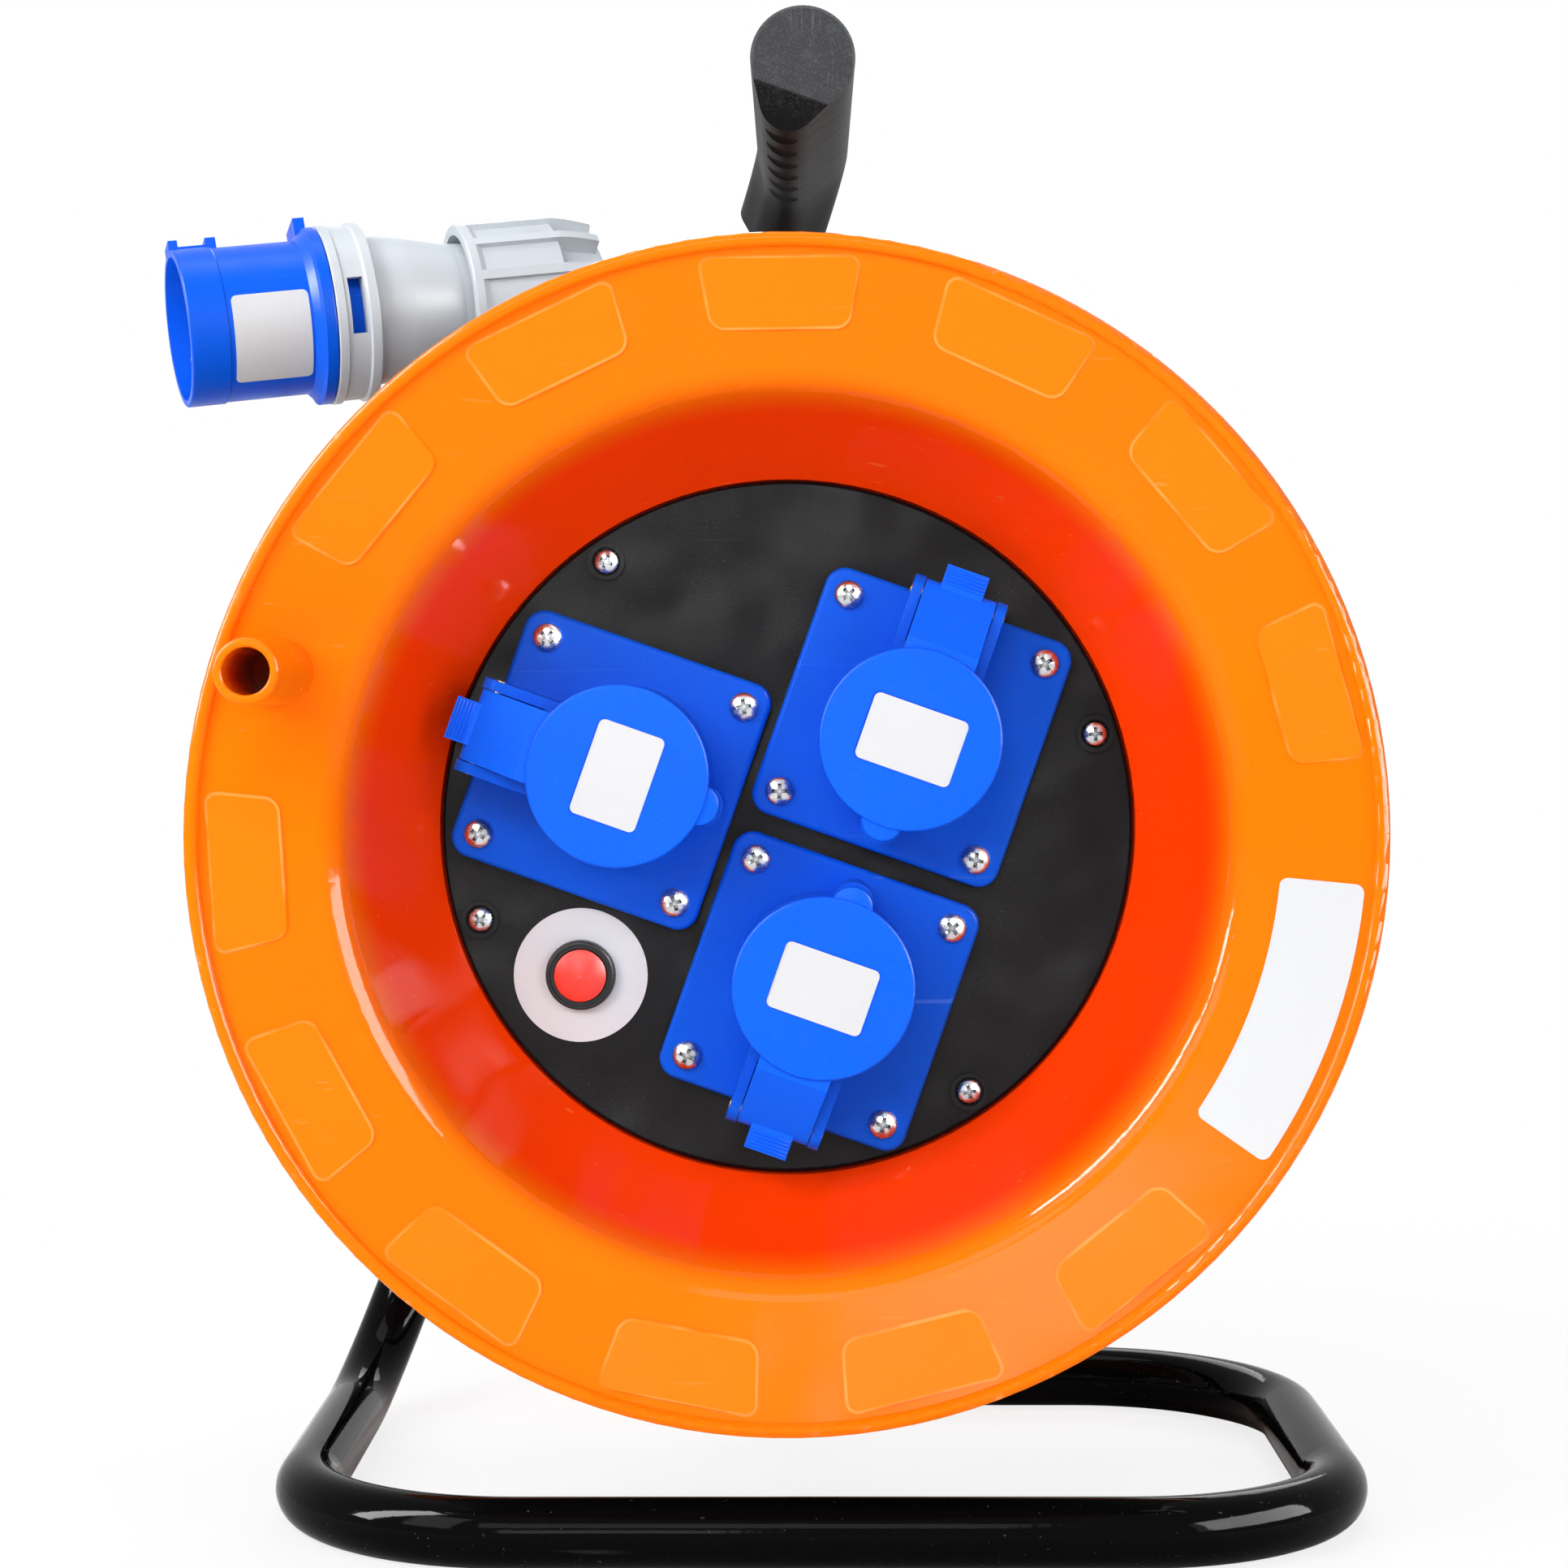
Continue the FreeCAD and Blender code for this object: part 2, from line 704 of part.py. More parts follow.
def make_handle_grip():
    """A pear-shaped grip, moulded over the handle and a part of its bend, with finger hollows."""
    tilt = math.radians(lean)
    up = Vector(math.sin(tilt), 0, math.cos(tilt))
    along = Vector(0, 1, 0)
    across = up.cross(along)
    frame = Matrix(
        across.x, up.x, along.x, 0,
        across.y, up.y, along.y, 0,
        across.z, up.z, along.z, 0,
        0, 0, 0, 1,
    )
    base = (axle_x + size.handle_shift, rim_y + size.grip_front, handle_height)
    body = new_body("handle_grip", base, Placement(frame).Rotation)
    spread = size.grip_top_rise + size.grip_foot_drop
    taper = (grip_top_radius - size.grip_foot_radius) / spread
    width = root(1 - taper * taper)
    top = grip_top_radius
    foot = size.grip_foot_radius
    shoulder = (top * width, size.grip_top_rise - top * taper)
    ankle = (foot * width, -size.grip_foot_drop - foot * taper)
    profile = outline(new_sketch(body, "XY"), [
        Corner(shoulder[0], shoulder[1]),
        Corner(0, size.grip_top_rise + top, arc=top),
        Corner(-shoulder[0], shoulder[1], arc=top),
        Corner(-ankle[0], ankle[1]),
        Corner(0, -size.grip_foot_drop - foot, arc=foot),
        Corner(ankle[0], ankle[1], arc=foot),
    ])
    straight = upright_set - size.handle_bend - size.grip_front
    sweep_end = (-size.handle_bend * (1 - cosine(size.grip_bend_sweep)),
                 straight + size.handle_bend * sine(size.grip_bend_sweep))

    def spine(start):
        drawing = new_sketch(body, "YZ")
        line = drawing.addGeometry(Part.LineSegment(Vector(0, float(sized(start)), 0), Vector(0, straight.value, 0)))
        end = Vector(sweep_end[0].value, sweep_end[1].value, 0)
        bend = drawing.addGeometry(arc_between(Vector(0, straight.value, 0), end, size.handle_bend.value))
        fix_point(drawing, line, 1, 0, start)
        fix_point(drawing, line, 2, 0, straight)
        drawing.addConstraint(Sketcher.Constraint("Coincident", line, 2, bend, 1))
        fix_point(drawing, bend, 2, sweep_end[0], sweep_end[1])
        fix(drawing, "Radius", (bend,), size.handle_bend)
        return drawing

    grip = body.newObject("PartDesign::AdditivePipe", "handle_grip_sweep")
    grip.Profile = profile
    grip.Spine = (spine(0), ["Edge1", "Edge2"])
    doc.recompute()
    # The lower corner of the end face is cut off at a slant
    facet = outline(new_sketch(body, "YZ"), [
        Corner(-(size.grip_foot_drop - 1), -1),
        Corner(-(size.grip_foot_drop - 1), 0),
        Corner(-(size.grip_foot_drop + foot + 1), foot + 2),
        Corner(-(size.grip_foot_drop + foot + 1), -1),
    ])
    pocket(body, facet, grip_top_radius * 4, middle=True)
    fingers = new_sketch(body, "YZ")
    lowest = -size.grip_foot_drop - foot - size.finger_radius + size.finger_depth
    for finger in range(6):
        circle(fingers, lowest, 28 + size.finger_step * finger, size.finger_radius)
    pocket(body, fingers, grip_top_radius * 4, middle=True)
    bore = body.newObject("PartDesign::SubtractivePipe", "handle_grip_bore")
    bore.Profile = circle(new_sketch(body, "XY", height=size.grip_end_wall), 0, 0, tube_radius + size.fit_play)
    bore.Spine = (spine(size.grip_end_wall), ["Edge1", "Edge2"])
    body.Tip = bore
    keep("handle_grip", body)


# Axle, bolted through the upright


def make_axle():
    body = drum_body("axle")
    clip_front = size.hub_front - size.bush_flange - size.thrust_play - size.thrust_washer - size.clip_thick
    groove_radius = size.axle_radius - size.clip_depth
    end = clip_front - 3
    outline_points = [
        Corner(0, -end),
        Corner(size.axle_radius, -end, rounding=1.5),
        Corner(size.axle_radius, -clip_front),
        Corner(groove_radius, -clip_front),
        Corner(groove_radius, -(clip_front + size.clip_thick)),
        Corner(size.axle_radius, -(clip_front + size.clip_thick)),
        Corner(size.axle_radius, -collar_front),
        Corner(size.axle_radius * 1.9, -collar_front),
        Corner(size.axle_radius * 1.9, -collar_back),
        Corner(size.stud_radius, -collar_back),
        Corner(size.stud_radius, -rear_reach, rounding=1),
        Corner(0, -rear_reach),
    ]
    revolve(body, outline(new_sketch(body, "XZ"), outline_points))
    keep("axle", body)


def ring_body(name, inner, outer, front, back, corner=None):
    """A plain ring on the drum's axis, between two depths behind the rim."""
    body = drum_body(name)
    drawing = outline(new_sketch(body, "XZ"), [
        Corner(inner, -back),
        Corner(outer, -back, rounding=corner),
        Corner(outer, -front, rounding=corner),
        Corner(inner, -front),
    ])
    revolve(body, drawing)
    return keep(name, body)


def make_axle_fittings():
    washer_back = size.hub_front - size.bush_flange - size.thrust_play
    washer_front = washer_back - size.thrust_washer
    ring_body("thrust_washer", size.axle_radius + size.axle_play, size.axle_radius * 1.8, washer_front, washer_back)
    clip_inner = size.axle_radius - size.clip_depth + size.fit_play
    # An open retaining ring in the axle's groove
    clip = drum_body("axle_clip")
    clip_sketch = circle(new_sketch(clip, "XY", height=-washer_front), 0, 0, size.axle_radius * 1.45)
    pad(clip, circle(clip_sketch, 0, 0, clip_inner), size.clip_thick - size.fit_play)
    pocket(clip, box_outline(new_sketch(clip, "XY", height=-washer_front), -5, 0, 5, size.axle_radius * 2),
           size.clip_thick * 2, forward=True)
    keep("axle_clip", clip)
    # A saddle that seats the axle's collar on the round tube
    saddle = drum_body("axle_saddle", turn=0)
    saddle_back = upright_set - tube_radius * 0.4
    pad(saddle, circle(new_sketch(saddle, "XY", height=-saddle_back), 0, 0, size.axle_radius * 1.75),
        saddle_back - collar_back)
    seat = circle(new_sketch(saddle, "XZ"), 0, -upright_set, tube_radius + size.fit_play)
    pocket(saddle, seat, size.axle_radius * 6, middle=True)
    stud_hole = circle(new_sketch(saddle, "XY", height=-collar_back), 0, 0, size.stud_radius + size.fit_play)
    pocket(saddle, stud_hole, size.tube_diameter)
    keep("axle_saddle", saddle)
    ring_body("axle_washer", size.stud_radius + size.fit_play, size.nut_flats * 0.62, tube_back + size.fit_play,
              nut_front)
    # Hexagon nut
    nut = drum_body("axle_nut")
    across = size.nut_flats / 2
    corners = [across / cosine(30) * cosine(60 * turn) for turn in range(6)]
    heights = [across / cosine(30) * sine(60 * turn) for turn in range(6)]
    hexagon = outline(new_sketch(nut, "XY", height=-(nut_front + size.nut_height)),
                      [Corner(x, y) for x, y in zip(corners, heights)])
    pad(nut, circle(hexagon, 0, 0, size.stud_radius + size.fit_play), size.nut_height)
    keep("axle_nut", nut)


# Drum


def ring_level(radius):
    """Height of the front flange's ring at a radius, below the rim."""
    top = size.rim_bead + size.ring_step
    return top + (ring_outer - radius) * (size.ring_drop - top) / (ring_outer - ring_inner)


def make_front_shell():
    """The dished front flange with the crank post, the panel's seat and the spigot in one moulding."""
    body = drum_body("front_shell")
    wall = size.shell_wall
    outer = ring_outer
    seat_top = size.panel_depth - size.panel_reveal
    lip_back = ring_inner + wall * 0.77
    profile = [
        Corner(drum_radius, -(size.rim_bead + size.rim_lip)),
        Corner(drum_radius, -size.rim_bead),
        Corner(drum_radius - size.rim_bead, 0, arc=size.rim_bead),
        Corner(outer, -size.rim_bead, arc=size.rim_bead),
        Corner(outer, -(size.rim_bead + size.ring_step)),
        Corner(ring_inner, -size.ring_drop),
        Corner(seat_radius, -seat_top, arc=-size.bowl_radius),
        Corner(seat_radius, -ledge_depth),
        Corner(ledge_inner, -ledge_depth),
        Corner(ledge_inner, -(ledge_depth + wall)),
        Corner(spigot_radius - wall, -(ledge_depth + wall)),
        Corner(spigot_radius - wall, -spigot_end),
        Corner(spigot_radius, -spigot_end),
        Corner(spigot_radius, -(seat_top + 0.2)),
        Corner(lip_back, -(size.ring_drop + wall * 0.86), arc=size.bowl_radius + wall),
        Corner(outer - 1, -(size.rim_bead + size.ring_step + wall)),
    ]
    dish = revolve(body, outline(new_sketch(body, "XZ"), profile))
    rounded = fillet(body, dish, size.ring_rounding, lip_edge(ring_inner, size.ring_drop))
    fillet(body, rounded, size.ring_rounding - wall, lip_edge(lip_back, size.ring_drop + wall * 0.86))
    add_pads(body)
    add_post(body)
    # Bosses behind the ledge for the panel's screws and the drum's screws
    for angles, boss, boss_end, hole in (
        (panel_screw_angles(), size.panel_boss_radius, spigot_end, size.panel_screw_radius),
        ([0, 90, 180, 270], size.drum_boss_radius, drum_boss_end - 0.3, size.drum_screw_radius),
    ):
        bosses = new_sketch(body, "XY", height=-(ledge_depth + wall * 0.5))
        holes = new_sketch(body, "XY", height=-ledge_depth)
        for angle in angles:
            x, y = on_orbit(boss_orbit, angle)
            circle(bosses, x, y, boss)
            circle(holes, x, y, hole + size.fit_play)
        pad(body, bosses, boss_end - ledge_depth - wall * 0.5, back=True)
        if boss is size.panel_boss_radius:
            pocket(body, holes, boss_end - ledge_depth - 2)
            continue
        blind = new_sketch(body, "XY", height=-boss_end)
        for angle in angles:
            x, y = on_orbit(boss_orbit, angle)
            circle(blind, x, y, hole + size.fit_play)
        pocket(body, blind, boss_end - ledge_depth - wall * 0.5, forward=True)
    keep("front_shell", body)


def lip_edge(radius, depth):
    """Picks the round edge about the drum's axis at a radius and a depth."""
    radius = float(sized(radius))
    depth = float(sized(depth))

    def wanted(edge):
        box = edge.BoundBox
        return box.ZLength < 0.01 and abs(box.ZMin + depth) < 0.01 and abs(box.XMax - radius) < 0.05

    return wanted


def panel_screw_angles():
    first = size.panel_screw_angle
    return [first, 180 - first, 180 + first, 360 - first]


def add_pads(body):
    """Two rows of six low pads, each a rounded plate lying on the ring's slope."""
    slope = math.degrees(math.atan2(
        (ring_level(ring_inner) - ring_level(pad_middle)).value,
        (pad_middle - ring_inner).value,
    ))
    for side in (1, -1):
        angle = size.post_angle + size.pad_first * side
        drawing = new_sketch(body, "XY")
        turn = Rotation(Vector(0, 0, 1), angle.value) * Rotation(Vector(0, 1, 0), -slope)
        x, y = on_orbit(pad_middle, angle)
        level = -ring_level(pad_middle)
        drawing.AttachmentOffset = Placement(Vector(x.value, y.value, level.value), turn)
        bind(drawing, "AttachmentOffset.Base.x", x)
        bind(drawing, "AttachmentOffset.Base.y", y)
        bind(drawing, "AttachmentOffset.Base.z", level)
        half = size.pad_length / 2
        inner = size.pad_inner_width / 2
        outer = size.pad_outer_width / 2
        outline(drawing, [
            Corner(-half, inner, rounding=size.pad_corner),
            Corner(-half, -inner, rounding=size.pad_corner),
            Corner(half, -outer, rounding=size.pad_corner),
            Corner(half, outer, rounding=size.pad_corner),
        ])
        feature = pad(body, drawing, size.pad_height)
        feature.Midplane = False
        polar(body, [feature], 6, size.pad_step * 5, back=side < 0)


def add_post(body):
    """The hollow crank post, with draft, a round lip and a blind bore."""
    drawing = new_sketch(body, "XZ", swing=size.post_angle)
    axis_line(drawing, post_orbit)
    top = size.post_reach
    lip = size.post_lip
    outline(drawing, [
        Corner(post_orbit, -size.post_root),
        Corner(post_orbit + size.post_base_radius, -size.post_root),
        Corner(post_orbit + size.post_end_radius, top, rounding=lip),
        Corner(post_orbit + size.post_bore_radius, top, rounding=lip * 0.7),
        Corner(post_orbit + size.post_bore_radius, top - size.post_bore_depth),
        Corner(post_orbit, top - size.post_bore_depth),
    ])
    revolve(body, drawing, axis="Axis0")


def make_rear_shell():
    """The winding barrel, the rear flange, the rear wall and the hub in one moulding."""
    body = drum_body("rear_shell_blank")
    wall = size.shell_wall
    outer = ring_outer
    ring_end = size.rear_wall + size.rear_rise
    rim_back = ring_end + wall + size.ring_step + size.rim_bead * 0.5
    profile = [
        Corner(barrel_inside, -barrel_start),
        Corner(barrel_outside, -barrel_start),
        Corner(barrel_outside, -size.rear_wall),
        Corner(drum_radius, -ring_end),
        Corner(drum_radius, -rim_back),
        Corner(drum_radius - size.rim_bead, -(rim_back + size.rim_bead), arc=-size.rim_bead),
        Corner(outer, -rim_back, arc=-size.rim_bead),
        Corner(outer, -(ring_end + wall)),
        Corner(barrel_outside, -rear_face),
        Corner(size.hub_foot_radius, -rear_face, rounding=5),
        Corner(size.hub_radius + 2, -hub_rear, rounding=1.5),
        Corner(size.bush_radius, -hub_rear),
        Corner(size.bush_radius, -size.hub_front),
        Corner(size.hub_radius, -size.hub_front),
        Corner(size.hub_radius, -size.rear_wall),
        Corner(barrel_inside, -size.rear_wall),
    ]
    revolve(body, outline(new_sketch(body, "XZ"), profile))
    # Ribs that brace the hub on the rear wall
    brace = outline(new_sketch(body, "XZ", swing=22.5), [
        Corner(size.hub_radius - 1, -(rear_face - 1)),
        Corner(boss_orbit - 6, -(rear_face - 1)),
        Corner(boss_orbit - 6, -(rear_face + 2)),
        Corner(size.hub_foot_radius + 5, -(rear_face + 14)),
        Corner(size.hub_radius - 1, -(hub_rear - 12)),
    ])
    rib = pad(body, brace, size.rib_thick, middle=True)
    doc.recompute()
    polar(body, [rib], 8)
    # Long bosses that carry the drum's screws to the front shell
    bosses = new_sketch(body, "XY", height=-(size.rear_wall + 1))
    holes = new_sketch(body, "XY", height=-drum_boss_end)
    for angle in (0, 90, 180, 270):
        x, y = on_orbit(boss_orbit, angle)
        circle(bosses, x, y, size.drum_boss_radius)
        circle(holes, x, y, size.drum_screw_radius + size.fit_play)
    pad(body, bosses, size.rear_wall + 1 - drum_boss_end)
    doc.recompute()
    pocket(body, holes, rear_face - drum_boss_end + 1)
    # The way in for the inner end of the cord
    holes = [tail_cylinder("tail_hole", grommet_radius + size.fit_play, -tail_reach(), -size.tail_offset * 0.5)]
    for side in (-1, 1):
        spot = clamp_placement().multVec(Vector(side * clamp_screw_set().value, 0, 6))
        to_wall = clamp_placement().Rotation.multVec(Vector(0, -1, 0))
        holes.append(round_bar(f"clamp_hole_{side + 1}", sized(1.45), tail_height + 2.2, spot, to_wall))
    doc.recompute()
    keep("rear_shell", cut_away("rear_shell", body, holes))


def make_bushes():
    for name, flange_end, inner_end, outward in (
        ("bush_front", size.hub_front, size.hub_front + size.bush_length, -1),
        ("bush_rear", hub_rear, hub_rear - size.bush_length, 1),
    ):
        body = drum_body(name)
        bore = size.axle_radius + size.axle_play
        outer = size.bush_radius - size.fit_play
        face = flange_end + size.bush_flange * outward
        revolve(body, outline(new_sketch(body, "XZ"), [
            Corner(bore, -face),
            Corner(size.hub_radius, -face),
            Corner(size.hub_radius, -flange_end),
            Corner(outer, -flange_end),
            Corner(outer, -inner_end),
            Corner(bore, -inner_end),
        ]))
        keep(name, body)


# Screws


def screw(body, shank, reach, head, height):
    """A pan-head screw whose head stands on the body's XY plane."""
    revolve(body, outline(new_sketch(body, "XZ"), [
        Corner(0, -reach),
        Corner(shank * 0.6, -reach),
        Corner(shank, 1.2 - reach),
        Corner(shank, 0),
        Corner(head, 0),
        Corner(head, height * 0.4),
        Corner(head * 0.75, height * 0.88),
        Corner(0, height),
    ]))
    return body


def screw_group(label, placements, shank, reach, head, height):
    """Identical screws as one sub-part of separate solids."""
    master = screw(new_body(f"{label}_master"), shank, reach, head, height)
    doc.recompute()
    shape = master.Shape
    copies = []
    for placement in placements:
        copy = shape.copy()
        copy.Placement = placement
        copies.append(copy)
    keep(label, shape_feature(label, Part.makeCompound(copies)))


def drum_placement(x, y, z, flip=False, turn=None):
    """A place in the drum's turned frame, given from its axis and in front of its rim."""
    turn = -size.drum_turn.value if turn is None else turn
    base = Placement(reel_point(0, 0, axle_height), drum_rotation(turn))
    local = Placement(Vector(float(x), float(y), float(z)), Rotation(Vector(1, 0, 0), 180 if flip else 0))
    return base.multiply(local)


def make_drum_screws():
    spots = [on_orbit(boss_orbit, angle) for angle in (0, 90, 180, 270)]
    head = size.drum_screw_radius * 1.8
    reach = rear_face - ledge_depth - size.shell_wall - 2
    places = [drum_placement(x, y, -rear_face, flip=True) for x, y in spots]
    screw_group("drum_screws", places, size.drum_screw_radius, reach, head, size.head_height * 1.25)


def make_panel_screws():
    spots = [on_orbit(boss_orbit, angle) for angle in panel_screw_angles()]
    places = [drum_placement(x, y, -size.panel_depth) for x, y in spots]
    screw_group("panel_screws", places, size.panel_screw_radius, 16, size.head_radius, size.head_height)


# Socket panel

# Each socket: its plate's middle in the drum's frame and the way its hinge points
SOCKETS = {
    "socket_1": (24.3, 39.1, 0),
    "socket_2": (-53.5, -1.4, 90),
    "socket_3": (24.4, -41.7, 180),
}


def socket_spot(name, x, y):
    """A point of a socket's own frame in the drum's turned frame."""
    middle_x, middle_y, turn = SOCKETS[name]
    angle = math.radians(turn)
    x, y = sized(x), sized(y)
    return (
        middle_x + x * math.cos(angle) - y * math.sin(angle),
        middle_y + x * math.sin(angle) + y * math.cos(angle),
    )


def make_socket_panel():
    body = drum_body("socket_panel")
    back = -(size.panel_depth + size.panel_thick)
    disc = circle(new_sketch(body, "XY", height=back), 0, 0, size.panel_diameter / 2)
    for name in SOCKETS:
        x, y = socket_spot(name, 0, -size.collar_shift)
        circle(disc, x, y, size.barrel_radius + 0.4)
        for across in (-0.5, 0.5):
            for along in (-0.5, 0.5):
                x, y = socket_spot(name, size.hole_pitch * across, size.hole_pitch * along)
                circle(disc, x, y, size.panel_screw_radius + size.fit_play)
    circle(disc, size.reset_x, size.reset_y, size.neck_radius + 0.2)
    for angle in panel_screw_angles():
        x, y = on_orbit(boss_orbit, angle)
        circle(disc, x, y, size.panel_screw_radius + size.fit_play)
    plate = pad(body, disc, size.panel_thick)
    fillet(body, plate, 1, lip_edge(size.panel_diameter / 2, size.panel_depth))
    # Raised rings round the heads of the panel's screws
    rings = new_sketch(body, "XY", height=-size.panel_depth - 0.5)
    for angle in panel_screw_angles():
        x, y = on_orbit(boss_orbit, angle)
        circle(rings, x, y, size.boss_ring_radius)
        circle(rings, x, y, size.head_radius + 0.35)
    pad(body, rings, size.boss_ring_height + 0.5)
    keep("socket_panel", body)


def make_panel_seal():
    outer = size.panel_diameter / 2 - 0.5
    front = size.panel_depth + size.panel_thick
    ring_body("panel_seal", outer - 3, outer, front, ledge_depth)


# Sockets. In each socket's own frame +Y points to the hinge and +Z out of the panel's face


def socket_body(name, label):
    x, y, turn = SOCKETS[name]
    total = turn - size.drum_turn.value
    angle = size.drum_turn
    base = (
        axle_x + x * cosine(angle) + y * sine(angle),
        rim_y + size.panel_depth,
        axle_height + y * cosine(angle) - x * sine(angle),
    )
    return new_body(f"{name}_{label}", base, drum_rotation(total))


def make_socket(name):
    plate_front = size.gasket_thick + size.plate_thick
    middle = -size.collar_shift
    half = size.plate_side / 2
    slot = size.arm_width / 2 + size.arm_play
    collar_end = middle + size.collar_radius
    # Gasket under the plate
    gasket = socket_body(name, "gasket")
    sheet_cut = box_outline(new_sketch(gasket, "XY"), 1 - half, 1 - half, half - 1, half - 1, rounding=size.plate_corner)
    circle(sheet_cut, 0, middle, size.barrel_radius + 0.4)
    for across in (-0.5, 0.5):
        for along in (-0.5, 0.5):
            circle(sheet_cut, size.hole_pitch * across, size.hole_pitch * along, size.panel_screw_radius + 0.4)
    pad(gasket, sheet_cut, size.gasket_thick)
    keep(f"{name}_gasket", gasket)
    # Housing: the plate, the collar with its key nose, the barrel behind the panel and the hinge ears
    housing = socket_body(name, "housing")
    plate = pad(housing, box_outline(new_sketch(housing, "XY", height=size.gasket_thick), -half, -half, half, half,
                                     rounding=size.plate_corner), size.plate_thick)
    rounded = fillet(housing, plate, size.plate_rounding, level_edge(plate_front))
    nose_y = middle - size.collar_radius + 0.6
    pad(housing, circle(new_sketch(housing, "XY", height=size.gasket_thick), 0, nose_y, size.nose_radius),
        size.collar_reach - size.gasket_thick)
    pad(housing, circle(new_sketch(housing, "XY", height=size.gasket_thick), 0, middle, size.collar_radius),
        size.collar_reach - size.gasket_thick)
    pad(housing, circle(new_sketch(housing, "XY", height=-size.barrel_reach), 0, middle, size.barrel_radius),
        size.barrel_reach + size.gasket_thick + 1)
    ear_foot = size.hinge_out + size.ear_radius - 1.2
    ears = outline(new_sketch(housing, "YZ"), [
        Corner(collar_end - 6, plate_front - 1),
        Corner(half - 2, plate_front - 1),
        Corner(ear_foot, plate_front + 4),
        Corner(size.hinge_out + size.ear_radius, size.hinge_up),
        Corner(size.hinge_out, size.hinge_up + size.ear_radius, arc=size.ear_radius),
        Corner(collar_end + 2, size.collar_reach - 2),
        Corner(collar_end - 6, size.collar_reach - 2),
    ])
    pad(housing, ears, size.ear_outside, middle=True)
    doc.recompute()
    between = box_outline(new_sketch(housing, "XY", height=plate_front), -slot, collar_end, slot, half + 20)
    pocket(housing, between, size.collar_reach, forward=True)
    bore = circle(new_sketch(housing, "XY", height=size.collar_reach + 1), 0, middle, size.collar_bore_radius)
    pocket(housing, bore, size.collar_reach - 1)
    through = circle(new_sketch(housing, "XY", height=size.collar_reach), 0, middle, size.barrel_bore_radius)
    pocket(housing, through, size.collar_reach + size.barrel_reach + 1)
    key_half = size.key_width / 2
    key_out = middle - size.collar_bore_radius - size.key_depth
    key = box_outline(new_sketch(housing, "XY", height=size.collar_reach + 1), -key_half, key_out, key_half, middle - 20)
    pocket(housing, key, size.collar_reach - plate_front)
    holes = new_sketch(housing, "XY", height=plate_front + 1)
    for across in (-0.5, 0.5):
        for along in (-0.5, 0.5):
            circle(holes, size.hole_pitch * across, size.hole_pitch * along, size.panel_screw_radius + 0.4)
    pocket(housing, holes, size.plate_thick + 2)
    pin_hole = circle(new_sketch(housing, "YZ"), size.hinge_out, size.hinge_up, size.hinge_pin_radius + size.fit_play)
    pocket(housing, pin_hole, size.ear_outside + 2, middle=True)
    keep(f"{name}_housing", housing)
    make_socket_insert(name, middle)
    make_socket_lid(name, middle, slot)
    pin = socket_body(name, "hinge_pin")
    pad(pin, circle(new_sketch(pin, "YZ"), size.hinge_out, size.hinge_up, size.hinge_pin_radius),
        size.ear_outside + 0.4, middle=True)
    keep(f"{name}_hinge_pin", pin)


def contact_spots(middle):
    """The earth contact at the key and the two live contacts, each with its radius."""
    spots = [(0, middle - size.pin_circle, size.earth_radius)]
    for angle in (30, 150):
        spots.append((size.pin_circle * math.cos(math.radians(angle)),
                      middle + size.pin_circle * math.sin(math.radians(angle)), size.live_radius))
    return spots


def make_socket_insert(name, middle):
    insert = socket_body(name, "insert")
    front = size.collar_reach - size.insert_recess
    shoulder = 3
    profile = new_sketch(insert, "XY", height=-(size.barrel_reach - 4))
    pad(insert, circle(profile, 0, middle, size.barrel_bore_radius - 0.1), size.barrel_reach - 4 + shoulder)
    pad(insert, circle(new_sketch(insert, "XY", height=shoulder), 0, middle, size.collar_bore_radius - 0.1),
        size.insert_flange)
    nose = pad(insert, circle(new_sketch(insert, "XY", height=shoulder), 0, middle, size.insert_radius),
               front - shoulder)
    fillet(insert, nose, 1, level_edge(front))
    doc.recompute()
    holes = new_sketch(insert, "XY", height=front + 1)
    for x, y, radius in contact_spots(middle):
        circle(holes, x, y, radius + size.fit_play)
    pocket(insert, holes, front + size.barrel_reach)
    keep(f"{name}_insert", insert)
    contacts = []
    for index, (x, y, radius) in enumerate(contact_spots(middle)):
        sleeve = socket_body(name, f"contact_{index}")
        ring = circle(new_sketch(sleeve, "XY", height=-size.barrel_reach), x, y, radius)
        pad(sleeve, circle(ring, x, y, radius - size.contact_wall), size.barrel_reach + front - size.insert_recess)
        contacts.append(sleeve)
    doc.recompute()
    keep(f"{name}_contacts", shape_feature(f"{name}_contacts", Part.makeCompound([item.Shape for item in contacts])))


